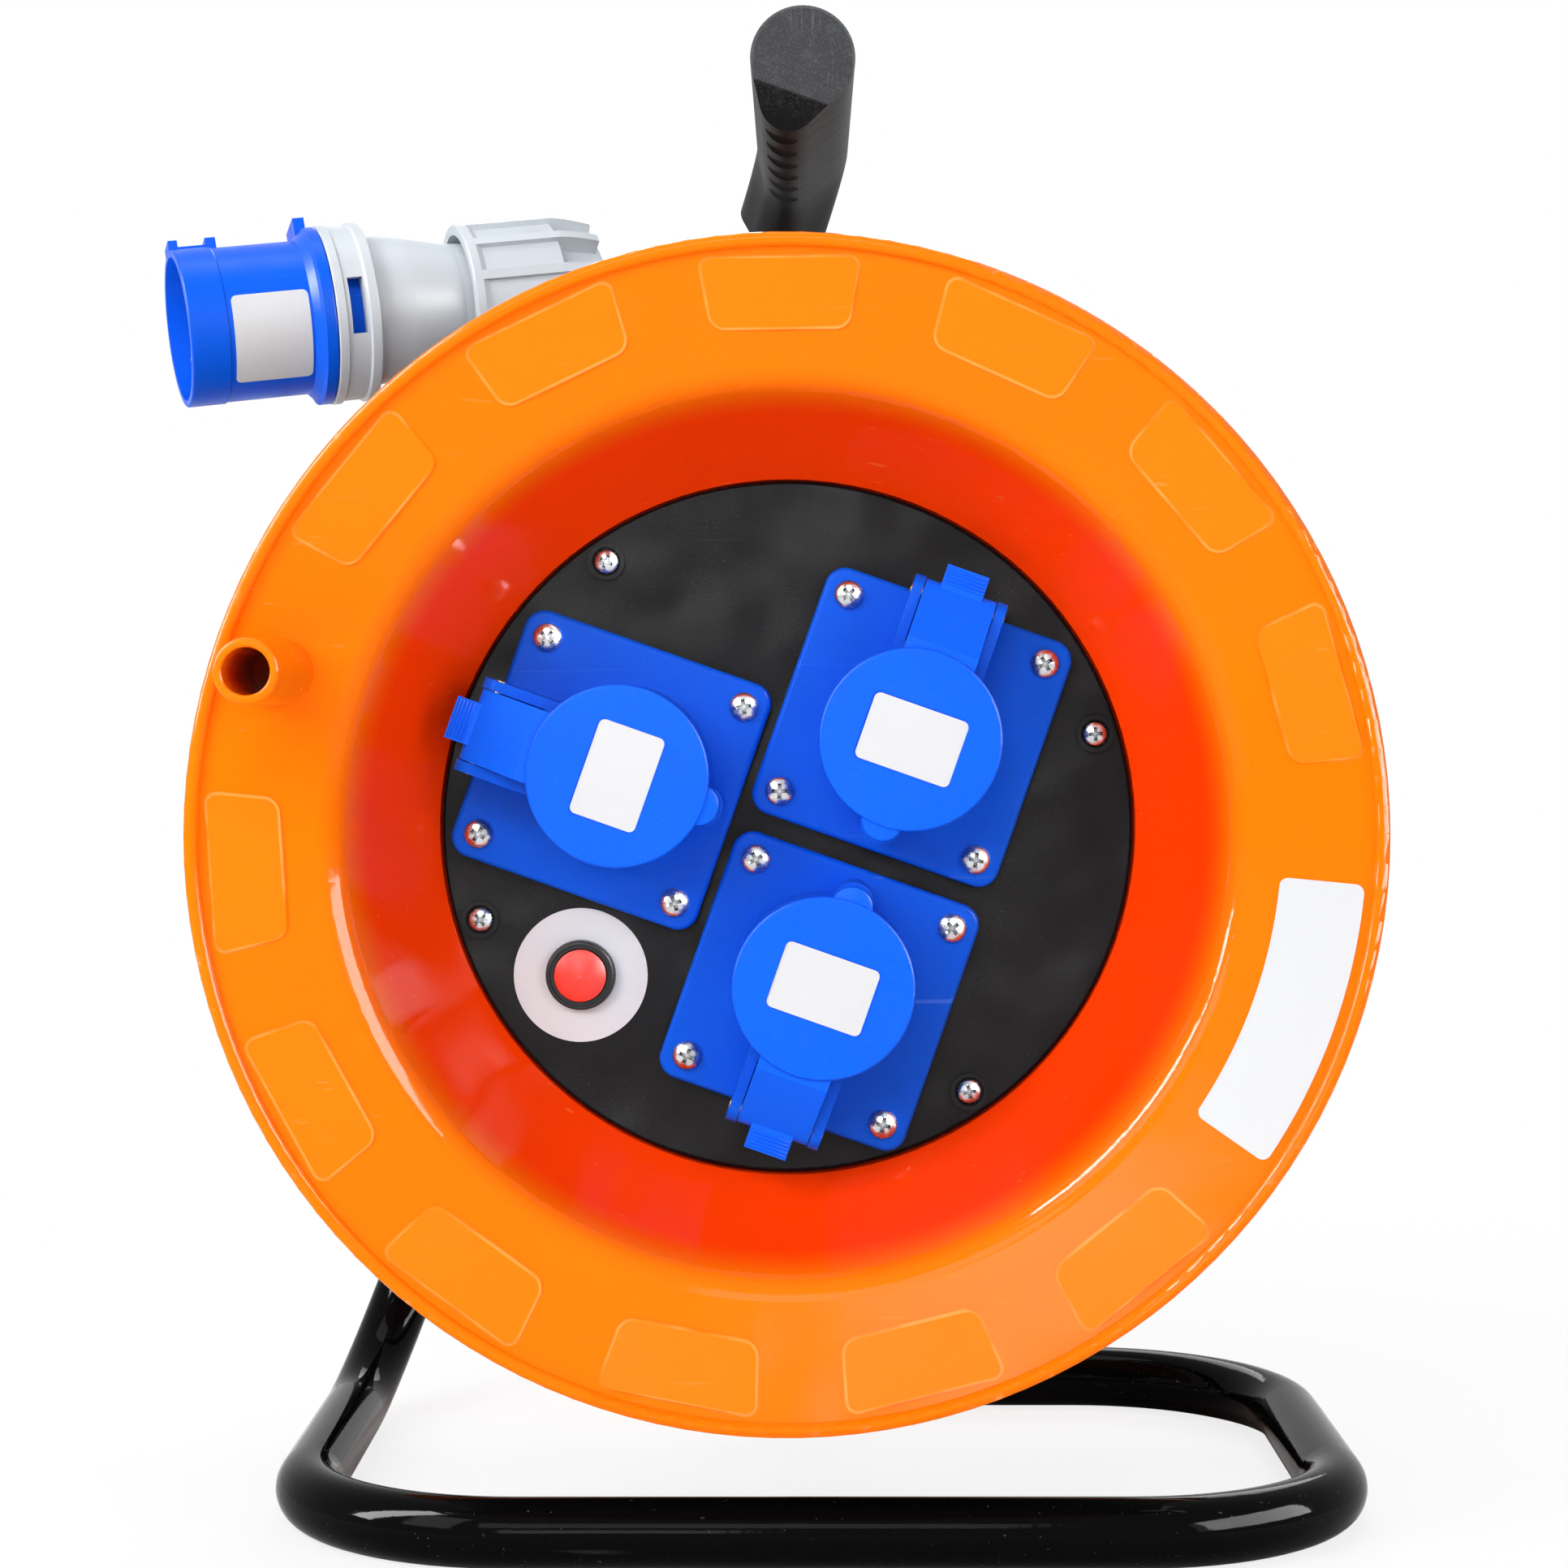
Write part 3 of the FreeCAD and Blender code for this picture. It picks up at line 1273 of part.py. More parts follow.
def make_socket_lid(name, middle, slot):
    """The hinged lid: its disc with nose and label recess, the arm, the hinge barrel and the thumb tab."""
    lid = socket_body(name, "lid")
    back = size.collar_reach + size.lid_gap
    front = back + size.lid_thick
    radius = size.collar_radius
    half_arm = size.arm_width / 2
    hinge = (size.hinge_out, size.hinge_up)
    hub = size.ear_radius - 0.4
    disc = pad(lid, circle(new_sketch(lid, "XY", height=back), 0, middle, radius), size.lid_thick)
    arm = outline(new_sketch(lid, "YZ"), [
        Corner(middle + radius - 5, back),
        Corner(middle + radius + 0.6, back),
        Corner(middle + radius + 0.6, back - 3),
        Corner(hinge[0] - hub, hinge[1]),
        Corner(hinge[0], hinge[1] - hub, arc=hub),
        Corner(hinge[0] + hub, hinge[1], arc=hub),
        Corner(hinge[0] + hub * 0.5, hinge[1] + hub * 0.9, arc=hub),
        Corner(middle + radius + 1.5, front - 1.2),
        Corner(middle + radius - 5, front - 1.2),
    ])
    pad(lid, arm, size.arm_width, middle=True)
    tab_end = hinge[0] + size.tab_reach
    tab = outline(new_sketch(lid, "YZ"), [
        Corner(hinge[0] + 2.5, hinge[1]),
        Corner(hinge[0] + hub, hinge[1] - 0.5),
        Corner(tab_end, hinge[1] + 1.2),
        Corner(tab_end, hinge[1] + 3.4),
        Corner(hinge[0] + 2.5, hinge[1] + 3.4),
    ])
    pad(lid, tab, size.tab_width, middle=True)
    nose = pad(lid, circle(new_sketch(lid, "XY", height=back), 0, middle - radius + 1.6, size.nose_radius - 1.2),
               size.lid_thick - 1)
    fillet(lid, nose, 0.8, lid_rim(middle, radius, front))
    cup = circle(new_sketch(lid, "XY", height=back), 0, middle, size.lid_cup_radius)
    pocket(lid, cup, size.lid_cup_depth, forward=True)
    groove_ring = circle(new_sketch(lid, "XY", height=back), 0, middle, size.collar_bore_radius + 0.7)
    circle(groove_ring, 0, middle, size.lid_cup_radius + 1.6)
    pocket(lid, groove_ring, size.lid_seal_thick, forward=True)
    half_length = size.label_length / 2
    half_width = size.label_width / 2
    recess = box_outline(new_sketch(lid, "XY", height=front), -half_length, middle - half_width, half_length,
                         middle + half_width, rounding=2)
    pocket(lid, recess, size.label_depth)
    # The middle of the hinge barrel is cut out for the spring
    room = circle(new_sketch(lid, "YZ"), hinge[0], hinge[1], size.hinge_pin_radius + 2)
    pocket(lid, room, 9, middle=True)
    pin_hole = circle(new_sketch(lid, "YZ"), hinge[0], hinge[1], size.hinge_pin_radius + size.axle_play)
    pocket(lid, pin_hole, size.arm_width + 2, middle=True)
    keep(f"{name}_lid", lid)
    seal = socket_body(name, "lid_seal")
    ring = circle(new_sketch(seal, "XY", height=back), 0, middle, size.collar_bore_radius + 0.65)
    pad(seal, circle(ring, 0, middle, size.lid_cup_radius + 1.65), size.lid_seal_thick)
    keep(f"{name}_lid_seal", seal)
    # Closing spring round the pin, as the sleeve that its coils fill
    spring = socket_body(name, "spring")
    coil = circle(new_sketch(spring, "YZ"), hinge[0], hinge[1], size.hinge_pin_radius + 1.5)
    pad(spring, circle(coil, hinge[0], hinge[1], size.hinge_pin_radius + 0.3), 8, middle=True)
    keep(f"{name}_spring", spring)


def lid_rim(middle, radius, front):
    """Picks the lid disc's front edge."""
    wanted_front = float(front)
    lowest = float(middle - radius)

    def wanted(edge):
        box = edge.BoundBox
        level = box.ZLength < 0.01 and abs(box.ZMin - wanted_front) < 0.01
        return level and box.YMin < lowest + 0.2

    return wanted


def make_socket_screws():
    places = []
    front = -size.panel_depth + size.gasket_thick + size.plate_thick
    for name in SOCKETS:
        for across in (-0.5, 0.5):
            for along in (-0.5, 0.5):
                x, y = socket_spot(name, size.hole_pitch * across, size.hole_pitch * along)
                places.append(drum_placement(x, y, front))
    screw_group("socket_screws", places, size.panel_screw_radius, 9, size.head_radius + 0.2, size.head_height)


# Circuit breaker with the reset button


def make_breaker():
    face = -size.panel_depth
    back = face - size.panel_thick
    x, y = size.reset_x, size.reset_y
    body = drum_body("breaker_body")
    left = x - 8.5
    bottom = y - 8
    pad(body, box_outline(new_sketch(body, "XY", height=back - 0.2), left, bottom, left + size.breaker_width,
                          bottom + size.breaker_length, rounding=1.5), size.breaker_depth, back=True)
    pad(body, circle(new_sketch(body, "XY", height=back - 0.2 - 1), x, y, size.neck_radius),
        size.panel_thick + size.bezel_height)
    doc.recompute()
    bore = circle(new_sketch(body, "XY", height=face + size.bezel_height + 1), x, y,
                  size.button_radius + size.button_play)
    pocket(body, bore, size.bezel_height + size.panel_thick + 8)
    keep("breaker_body", body)
    bezel = drum_body("reset_bezel")
    axis = x
    drawing = new_sketch(bezel, "XZ")
    drawing.AttachmentOffset = Placement(Vector(0, 0, -y.value), Rotation())
    bind(drawing, "AttachmentOffset.Base.z", -y)
    axis_line(drawing, axis)
    outline(drawing, [
        Corner(axis + size.neck_radius + size.fit_play, face),
        Corner(axis + size.bezel_radius + 0.4, face),
        Corner(axis + size.bezel_radius, face + size.bezel_height, rounding=0.7),
        Corner(axis + size.neck_radius + size.fit_play, face + size.bezel_height),
    ])
    revolve(bezel, drawing, axis="Axis0")
    keep("reset_bezel", bezel)
    button = drum_body("reset_button")
    cap = new_sketch(button, "XZ")
    cap.AttachmentOffset = Placement(Vector(0, 0, -y.value), Rotation())
    bind(cap, "AttachmentOffset.Base.z", -y)
    axis_line(cap, axis)
    top = face + size.button_rise
    dome = size.button_dome
    dome_radius = (size.button_radius * size.button_radius + dome * dome) / (dome * 2)
    foot = face - size.panel_thick - 3
    outline(cap, [
        Corner(axis, foot),
        Corner(axis + size.button_radius, foot),
        Corner(axis + size.button_radius, top - size.button_dome),
        Corner(axis, top, arc=dome_radius),
    ])
    revolve(button, cap, axis="Axis0")
    keep("reset_button", button)


# Inner end of the cord, held inside the drum


def tail_reach():
    """Half the chord on which the tail crosses the barrel's outside, and a little more."""
    return root(barrel_outside * barrel_outside - size.tail_offset * size.tail_offset) + 8


def tail_placement(along):
    """A place on the tail's straight line, with local Z along it."""
    depth = -(size.rear_wall - tail_height)
    base = drum_placement(0, 0, depth)
    turn = Placement(Vector(0, 0, 0), Rotation(Vector(0, 0, 1), 45))
    local = Placement(Vector(size.tail_offset.value, float(sized(along)), 0), Rotation(Vector(1, 0, 0), -90))
    return base.multiply(turn).multiply(local)


def tail_cylinder(name, radius, start, end):
    made = doc.addObject("Part::Cylinder", name)
    made.Radius = bind(made, "Radius", radius)
    made.Height = bind(made, "Height", end - start)
    made.Placement = tail_placement(start)
    return made


def clamp_placement():
    """A place on the tail with local Y pointing away from the rear wall."""
    return tail_placement(-8).multiply(Placement(Vector(0, 0, 0), Rotation(Vector(0, 0, 1), 180)))


def clamp_screw_set():
    return cord_radius + 5.2


def make_tail():
    start = -tail_reach()
    keep("cable_tail", tail_cylinder("cable_tail", cord_radius, start, sized(14)))
    sleeve = tail_cylinder("grommet_outside", grommet_radius, start + 4, start + 20)
    hole = tail_cylinder("grommet_hole", cord_radius + size.fit_play, start, start + 24)
    keep("tail_grommet", cut_away("tail_grommet", sleeve, [hole]))
    # A saddle that clamps the tail on the rear wall
    clamp = new_body("tail_clamp", (0, 0, 0))
    clamp.Placement = clamp_placement()
    wide = cord_radius + 8
    floor = tail_height - 0.05
    arch = cord_radius + size.fit_play
    pad(clamp, outline(new_sketch(clamp, "XY"), [
        Corner(-wide, -floor),
        Corner(-arch, -floor),
        Corner(-arch, 0),
        Corner(0, arch, arc=-arch),
        Corner(arch, 0, arc=-arch),
        Corner(arch, -floor),
        Corner(wide, -floor),
        Corner(wide, 3 - floor),
        Corner(arch + 2.5, 3 - floor),
        Corner(arch + 2.5, 0),
        Corner(0, arch + 2.5, arc=arch + 2.5),
        Corner(-arch - 2.5, 0, arc=arch + 2.5),
        Corner(-arch - 2.5, 3 - floor),
        Corner(-wide, 3 - floor),
    ]), 12)
    holes = new_sketch(clamp, "XZ")
    for side in (-1, 1):
        circle(holes, clamp_screw_set() * side, 6, 1.45)
    pocket(clamp, holes, wide * 2, middle=True)
    keep("tail_clamp", clamp)
    spots = []
    for side in (-1, 1):
        local = Placement(Vector(side * clamp_screw_set().value, 3 - floor.value, 6), Rotation(Vector(1, 0, 0), -90))
        spots.append(clamp_placement().multiply(local))
    screw_group("clamp_screws", spots, sized(1.4), 5, sized(2.5), sized(1.8))


# Winding: the inner layers are a plain core, and the outer layer winds on it as one tube


def winding_point(turned, radius=None):
    """A point of the outer layer, turned degrees before the end of the winding."""
    angle = math.radians(size.winding_end_angle.value - turned)
    radius = winding_radius.value if radius is None else radius
    back = size.winding_front.value + winding_pitch.value * (winding_turns - turned / 360)
    return reel_point(radius * math.cos(angle), back, axle_height.value + radius * math.sin(angle))


def winding_heading(turned):
    """The way the cord runs there, towards the end of the winding."""
    angle = math.radians(size.winding_end_angle.value - turned)
    climb = winding_pitch.value / (2 * math.pi * winding_radius.value)
    return Vector(-math.sin(angle), climb, math.cos(angle)).normalize()


def biarc(start, start_heading, end, end_heading):
    """Two arcs that leave start and arrive at end along the given headings."""
    span = end - start
    together = start_heading + end_heading
    square = 4 - together.dot(together)
    across = span.dot(together)
    reach = (-across + math.sqrt(across * across + square * span.dot(span))) / square
    first = start + start_heading * reach
    second = end - end_heading * reach
    middle = (first + second) * 0.5
    return [arc_edge(start, first, middle), arc_edge(middle, second, end)]


def climb_wire():
    """The stub of the layer below that comes up from the core to the start of the outer layer."""
    turned = winding_turns * 360
    heading = winding_heading(turned)
    face = winding_point(turned) - heading * size.cord_diameter.value
    middle = reel_point(0, 0, axle_height)
    inward = Vector(middle.x - face.x, 0, middle.z - face.z).normalize()
    inward = (inward - heading * inward.dot(heading)).normalize()
    bend = math.radians(size.climb_angle.value)
    low = face - heading * 2
    corner = low - heading * 8
    end = corner - (heading * math.cos(bend) - inward * math.sin(bend)) * 26
    radius = 8 / math.tan(bend / 2)
    return bent_wire([face, corner, end], [radius])


def winding_wire():
    quarters = int(winding_turns * 4)
    start = winding_point(winding_turns * 360)
    lead_in = winding_heading(winding_turns * 360) * size.cord_diameter.value
    edges = [Part.makeLine(start - lead_in, start)]
    for quarter in range(quarters, 0, -1):
        before = quarter * 90
        after = before - 90
        edges += biarc(winding_point(before), winding_heading(before), winding_point(after), winding_heading(after))
    end = winding_point(0)
    edges.append(Part.makeLine(end, end + winding_heading(0) * size.cord_diameter.value))
    return Part.Wire(edges)


def least_gap(wire, diameter):
    """The least free space between stretches of the wire's tube that lie a turn apart."""
    step = winding_radius.value * math.pi / 90
    points = wire.discretize(Distance=step)
    skip = int(winding_radius.value * math.pi / step)
    gap = None
    for index, point in enumerate(points):
        for other in points[index + skip:index + skip * 3]:
            apart = (point - other).Length - diameter
            gap = apart if gap is None or apart < gap else gap
    return gap


def make_winding():
    path = winding_wire()
    tube = tube_along(path, cord_radius.value)
    compare_volume("cable_winding", tube, cord_radius.value, path.Length)
    print(f"winding: length {path.Length:.0f} mm, least gap to itself {least_gap(path, size.cord_diameter.value):.2f} mm")
    keep("cable_winding", shape_feature("cable_winding", tube))
    body = drum_body("winding_core_blank")
    wall = size.shell_wall
    gap = size.winding_play
    bore = barrel_outside + gap
    front_slope = (size.ring_drop - size.rim_bead - size.ring_step) / (ring_outer - ring_inner)
    rear_slope = size.rear_rise / (drum_radius - barrel_outside)
    front_lip = ring_level(core_radius) + wall * (1 + front_slope) + gap
    revolve(body, outline(new_sketch(body, "XZ"), [
        Corner(bore, -(size.rear_wall + rear_slope * gap - gap)),
        Corner(bore, -(size.panel_depth - 6)),
        Corner(core_radius - 3.6, -(front_lip + 7.5), arc=size.bowl_radius + wall + 1),
        Corner(core_radius, -(front_lip + 1.8)),
        Corner(core_radius, -(size.rear_wall + rear_slope * (core_radius - barrel_outside) - gap)),
    ]))
    stub = shape_feature("climbing_cord", tube_along(climb_wire(), cord_radius.value))
    tail_hole = tail_cylinder("core_tail_hole", cord_radius + size.fit_play, -tail_reach(), sized(0))
    grommet_hole = tail_cylinder("core_grommet_hole", grommet_radius + 0.2, 3.5 - tail_reach(), sized(0))
    doc.recompute()
    whole = joined("winding_core", [body, stub])
    keep("winding_core", cut_away("winding_core", whole, [tail_hole, grommet_hole]))


# Loose lead and its plug

# The plug's nut and mouth: beside the drum's axis, behind the rim and above the winding's middle line
NUT_END = (-61.0, 152.0, 31.3)
MOUTH = (-186.2, 112.0, 14.6)


def plug_placement():
    """Local Z runs from the plug's mouth to its cable nut, and local Y points up."""
    winding_top = axle_height + winding_radius
    mouth = reel_point(MOUTH[0], MOUTH[1], winding_top + MOUTH[2])
    nut = reel_point(NUT_END[0], NUT_END[1], winding_top + NUT_END[2])
    along = (nut - mouth).normalize()
    up = (Vector(0, 0, 1) - along * along.z).normalize()
    across = up.cross(along)
    frame = Matrix(
        across.x, up.x, along.x, 0,
        across.y, up.y, along.y, 0,
        across.z, up.z, along.z, 0,
        0, 0, 0, 1,
    )
    roll = Placement(Vector(0, 0, 0), Rotation(Vector(0, 0, 1), -14))
    return Placement(mouth, Placement(frame).Rotation).multiply(roll)


def plug_body_named(name):
    body = doc.addObject("PartDesign::Body", name)
    body.Placement = plug_placement()
    return body


def make_plug():
    neck = size.shroud_radius - 2.4
    inner = size.shroud_radius - size.shroud_wall
    flange_back = size.shroud_length + size.shroud_flange
    ring_back = flange_back + size.ring_length
    floor = size.shroud_length - 4
    # Shroud with its flange, the neck that the ring turns on and the key rib
    shroud = plug_body_named("plug_shroud")
    revolve(shroud, outline(new_sketch(shroud, "XZ"), [
        Corner(inner, 0),
        Corner(size.shroud_radius + 0.4, 0, rounding=0.6),
        Corner(size.shroud_radius + 0.4, size.shroud_band),
        Corner(size.shroud_radius, size.shroud_band + 0.4),
        Corner(size.shroud_radius, size.shroud_length - 3),
        Corner(size.shroud_flange_radius - 1.5, size.shroud_length - 0.8),
        Corner(size.shroud_flange_radius, size.shroud_length),
        Corner(size.shroud_flange_radius, flange_back, rounding=0.6),
        Corner(neck, flange_back),
        Corner(neck, ring_back - 0.5),
        Corner(inner - 3, ring_back - 0.5),
        Corner(inner - 3, floor + 6),
        Corner(inner, floor + 6),
    ]))
    key_half = 4.4
    key = box_outline(new_sketch(shroud, "XY", height=0.4), -key_half, inner + 1,
                      key_half, size.shroud_radius + size.key_height)
    pad(shroud, key, size.key_run)
    doc.recompute()
    dip = box_outline(new_sketch(shroud, "XY", height=3.2), -key_half - 1, size.shroud_radius + 1.2,
                      key_half - 1.4, size.shroud_radius + size.key_height + 1)
    pocket(shroud, dip, size.key_run - 6, forward=True)
    thumb = box_outline(new_sketch(shroud, "XY", height=size.shroud_length - 1.5), -7, size.shroud_flange_radius - 3,
                        7, size.shroud_flange_radius + 2.6)
    pad(shroud, thumb, size.shroud_flange)
    keep("plug_shroud", shroud)
    # Pin carrier inside the shroud
    carrier = plug_body_named("plug_insert")
    disc = circle(new_sketch(carrier, "XY", height=floor), 0, 0, inner - 0.1)
    pins = [(0, size.pin_circle, size.plug_pin_earth)]
    for angle in (210, 330):
        pins.append((size.pin_circle * math.cos(math.radians(angle)), size.pin_circle * math.sin(math.radians(angle)),
                     size.plug_pin_live))
    for x, y, radius in pins:
        circle(disc, x, y, radius - size.plug_pin_step + size.fit_play)
    pad(carrier, disc, 5.9)
    keep("plug_insert", carrier)
    made = []
    for x, y, radius in pins:
        pin = plug_body_named("plug_pin_blank")
        tip = size.plug_pin_recess
        shoulder = floor - 0.3
        end = floor + 5.9 + 4
        shaft = pad(pin, circle(new_sketch(pin, "XY", height=tip), x, y, radius), shoulder - tip)
        fillet(pin, shaft, radius * 0.6, level_edge(tip))
        doc.recompute()
        root = circle(new_sketch(pin, "XY", height=shoulder - 1), x, y, radius - size.plug_pin_step)
        pad(pin, root, end - shoulder + 1)
        made.append(pin)
    doc.recompute()
    keep("plug_pins", shape_feature("plug_pins", Part.makeCompound([pin.Shape for pin in made])))
    # Turning ring with its two lips and the window that shows the neck
    ring = plug_body_named("plug_collar")
    lip = size.ring_radius + 0.8
    revolve(ring, outline(new_sketch(ring, "XZ"), [
        Corner(neck + 0.2, flange_back + 0.2),
        Corner(lip, flange_back + 0.2, rounding=0.5),
        Corner(lip, flange_back + 3),
        Corner(size.ring_radius, flange_back + 3.6),
        Corner(size.ring_radius, ring_back - 3.6),
        Corner(lip, ring_back - 3),
        Corner(lip, ring_back, rounding=0.5),
        Corner(neck + 0.2, ring_back),
    ]))
    doc.recompute()
    window = box_outline(new_sketch(ring, "YZ"), -8.5, flange_back + 4.6, 8.5, ring_back - 4.2)
    window.AttachmentOffset = Placement(Vector(0, 0, 0), Rotation(Vector(0, 1, 0), 14))
    pocket(ring, window, size.ring_radius * 2)
    keep("plug_collar", ring)
    # Rear body, crowned and tapering to the nut
    body = plug_body_named("plug_body")
    nut_seat = size.gland_start + 9
    revolve(body, outline(new_sketch(body, "XZ"), [
        Corner(0, ring_back + 0.1),
        Corner(size.body_radius, ring_back + 0.1),
        Corner(size.body_radius * 0.975, ring_back + 12, arc=90),
        Corner(size.body_end_radius + 0.9, size.gland_start - 2, arc=150),
        Corner(size.body_end_radius, nut_seat),
        Corner(0, nut_seat),
    ]))
    keep("plug_body", body)
    # Cable nut: a skirt that is open towards the body, ridges along it and a mouth for the cable
    nut = plug_body_named("plug_gland_nut")
    end = size.plug_length
    radius = size.gland_radius
    core = revolve(nut, outline(new_sketch(nut, "XZ"), [
        Corner(size.body_end_radius + 3.4, size.gland_start),
        Corner(radius + size.gland_rib, size.gland_start, rounding=0.8),
        Corner(radius + size.gland_rib, size.gland_start + 3),
        Corner(radius, size.gland_start + 5),
        Corner(radius, end - 15),
        Corner(radius - 4.5, end - 12.5),
        Corner(radius - 7, end, rounding=2),
        Corner(cord_radius + 0.7, end),
        Corner(cord_radius + 0.7, end - size.lead_seat),
        Corner(0, end - size.lead_seat),
        Corner(0, nut_seat + 0.1),
        Corner(size.body_end_radius + 3.4, nut_seat + 0.1),
    ]))
    doc.recompute()
    ridge = outline(new_sketch(nut, "XZ"), [
        Corner(radius - 1, size.gland_start + 3),
        Corner(radius + size.gland_rib, size.gland_start + 3),
        Corner(radius + size.gland_rib, end - 14),
        Corner(radius - 1.5, end - 1.5, arc=60),
        Corner(radius - 7.5, end - 2.5),
        Corner(radius - 5.5, end - 12),
        Corner(radius - 1, end - 16),
    ])
    first = pad(nut, ridge, 3, middle=True)
    doc.recompute()
    polar(nut, [first], int(size.gland_ribs.value))
    keep("plug_gland_nut", nut)


def lead_points():
    """The lead's route: off the winding, up behind the front flange and into the plug's nut."""
    start = winding_point(0) + winding_heading(0) * size.cord_diameter.value
    seat = size.plug_length.value - size.lead_seat.value
    winding_top = axle_height + winding_radius
    return [
        start,
        start + winding_heading(0) * 40.3,
        reel_point(60.9, 168.1, winding_top + 3.8),
        reel_point(18.4, 166.4, winding_top + 26.4),
        plug_placement().multVec(Vector(0, 0, seat + 42)),
        plug_placement().multVec(Vector(0, 0, seat)),
    ]


def make_lead():
    points = lead_points()
    runs = [(end - start).Length for start, end in zip(points, points[1:])]
    radii = []
    for index in range(1, len(points) - 1):
        before = points[index] - points[index - 1]
        after = points[index + 1] - points[index]
        radii.append(0.45 * min(runs[index - 1], runs[index]) / math.tan(before.getAngle(after) / 2))
    print("lead: runs", [round(run, 1) for run in runs], "bend radii", [round(radius, 1) for radius in radii])
    path = bent_wire(points, radii)
    tube = tube_along(path, cord_radius.value)
    compare_volume("cable_lead", tube, cord_radius.value, path.Length)
    print(f"lead: length {path.Length:.1f} mm")
    keep("cable_lead", shape_feature("cable_lead", tube))


# Build everything in the order in which it would go together

make_frame_tube()
make_handle_grip()
make_axle()
make_axle_fittings()
make_front_shell()
make_rear_shell()
make_bushes()
make_drum_screws()
make_socket_panel()
make_panel_seal()
make_panel_screws()
for socket_name in SOCKETS:
    make_socket(socket_name)
make_socket_screws()
make_breaker()
make_tail()
make_winding()
make_plug()
make_lead()

doc.recompute()
for item in doc.Objects:
    if "Invalid" in item.State or "Error" in item.State:
        raise RuntimeError(f"{item.Label} failed: {item.State}")

os.makedirs("parts", exist_ok=True)
for item in pieces:
    if item.Shape.isNull() or not item.Shape.isValid():
        raise RuntimeError(f"{item.Label} has no valid shape")
for item in pieces:
    item.Shape.exportStep(f"parts/{item.Label}.step")
print(f"{len(pieces)} sub-parts written")
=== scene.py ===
import json
import math

import bmesh
import bpy
from bpy.props import FloatProperty, FloatVectorProperty, IntProperty, PointerProperty
from mathutils import Matrix, Vector


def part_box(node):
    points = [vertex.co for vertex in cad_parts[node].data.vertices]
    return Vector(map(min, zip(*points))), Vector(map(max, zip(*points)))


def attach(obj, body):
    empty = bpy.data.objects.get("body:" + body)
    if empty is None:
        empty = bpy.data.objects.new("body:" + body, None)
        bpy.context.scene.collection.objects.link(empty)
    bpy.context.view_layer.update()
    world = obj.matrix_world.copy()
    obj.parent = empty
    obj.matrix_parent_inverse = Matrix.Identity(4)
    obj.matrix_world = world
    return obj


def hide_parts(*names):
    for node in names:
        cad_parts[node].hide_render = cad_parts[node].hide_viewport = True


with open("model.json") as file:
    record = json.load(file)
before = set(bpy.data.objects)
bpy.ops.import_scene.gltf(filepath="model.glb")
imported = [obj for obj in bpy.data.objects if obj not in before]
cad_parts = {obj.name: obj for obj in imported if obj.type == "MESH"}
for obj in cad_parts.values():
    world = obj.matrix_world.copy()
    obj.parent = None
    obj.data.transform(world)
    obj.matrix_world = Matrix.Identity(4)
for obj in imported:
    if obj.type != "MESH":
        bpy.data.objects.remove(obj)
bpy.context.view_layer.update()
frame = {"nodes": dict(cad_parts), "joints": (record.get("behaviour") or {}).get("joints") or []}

bl_info = {
    "name": "Extension cord reel",
    "version": (1, 0, 0),
    "blender": (4, 5, 0),
    "location": "3D View > Sidebar > Cord reel",
    "description": "Cords, fasteners, labels, finishes and studio of an extension cord reel",
    "category": "Object",
}

MM = 0.001
QUARTER = math.pi / 2


def moved(x, y, z):
    """A shift in millimetres."""
    return Matrix.Translation((x * MM, y * MM, z * MM))


def turned(angle, axis="Z"):
    return Matrix.Rotation(angle, 4, axis)


# Places, from the frame's own joint and the part's sizes, in millimetres where no unit is named

SPIN = next(joint for joint in frame["joints"] if joint["name"] == "drum_spin")
RIM_Y_M = -0.112775
AXLE = Vector((SPIN["pos_m"][0], RIM_Y_M, SPIN["pos_m"][2]))
DRUM_TURN = math.radians(-19.4)
DRUM = Matrix.Translation(AXLE) @ turned(QUARTER, "X") @ turned(DRUM_TURN)
PANEL = DRUM @ moved(0, 0, -59)
SOCKETS = {1: (24.3, 39.1, 0), 2: (-53.5, -1.4, 90), 3: (24.4, -41.7, 180)}
MOUTH_MIDDLE = -3.3
HINGE_BACK, HINGE_HEIGHT = 37.2, 18
RESET = (-42.3, -60.5, 0)

# The winding's turns, and where the lead leaves it: angle round the axle and distance behind the rim
WOUND_TURNS = 35.32
LEAVE_ANGLE = math.radians(30)
LEAVE_BACK = 167.5

# Along the plug's axis: where the nut grips the cord, and up to where the cord runs straight
NUT_GRIP_M, NUT_CLEAR_M = 0.1245, 0.1665

# The pads on the flange's ring, counted each way from the crank post
POST_TURN = math.radians(181.75) + DRUM_TURN
PAD_FIRST, PAD_STEP, PAD_LAST = math.radians(21.5), math.radians(25.04), 5.0
PAD_ORBIT_M = 0.1486

# The stand: the handle above the axle, the upright's end below the handle, and the leaning leg
TUBE_RADIUS = 10.0
HANDLE_RISE = 217.0
UPRIGHT_DROP = 51.0
LEG_OFFSET, LEG_SPREAD = 3.5, 147.0


def reel_point(across, back, height):
    """A point of the reel in metres, from millimetres across, behind the rim and above the floor."""
    return Vector((AXLE.x + across * MM, RIM_Y_M + back * MM, height * MM))


def axle_point(radius, angle, back):
    """A point round the axle, in the same millimetres."""
    return reel_point(radius * math.cos(angle), back, AXLE.z / MM + radius * math.sin(angle))


def socket_frame(number):
    """A socket's own frame, on the panel's face."""
    x, y, turn = SOCKETS[number]
    return PANEL @ moved(x, y, 0) @ turned(math.radians(turn))


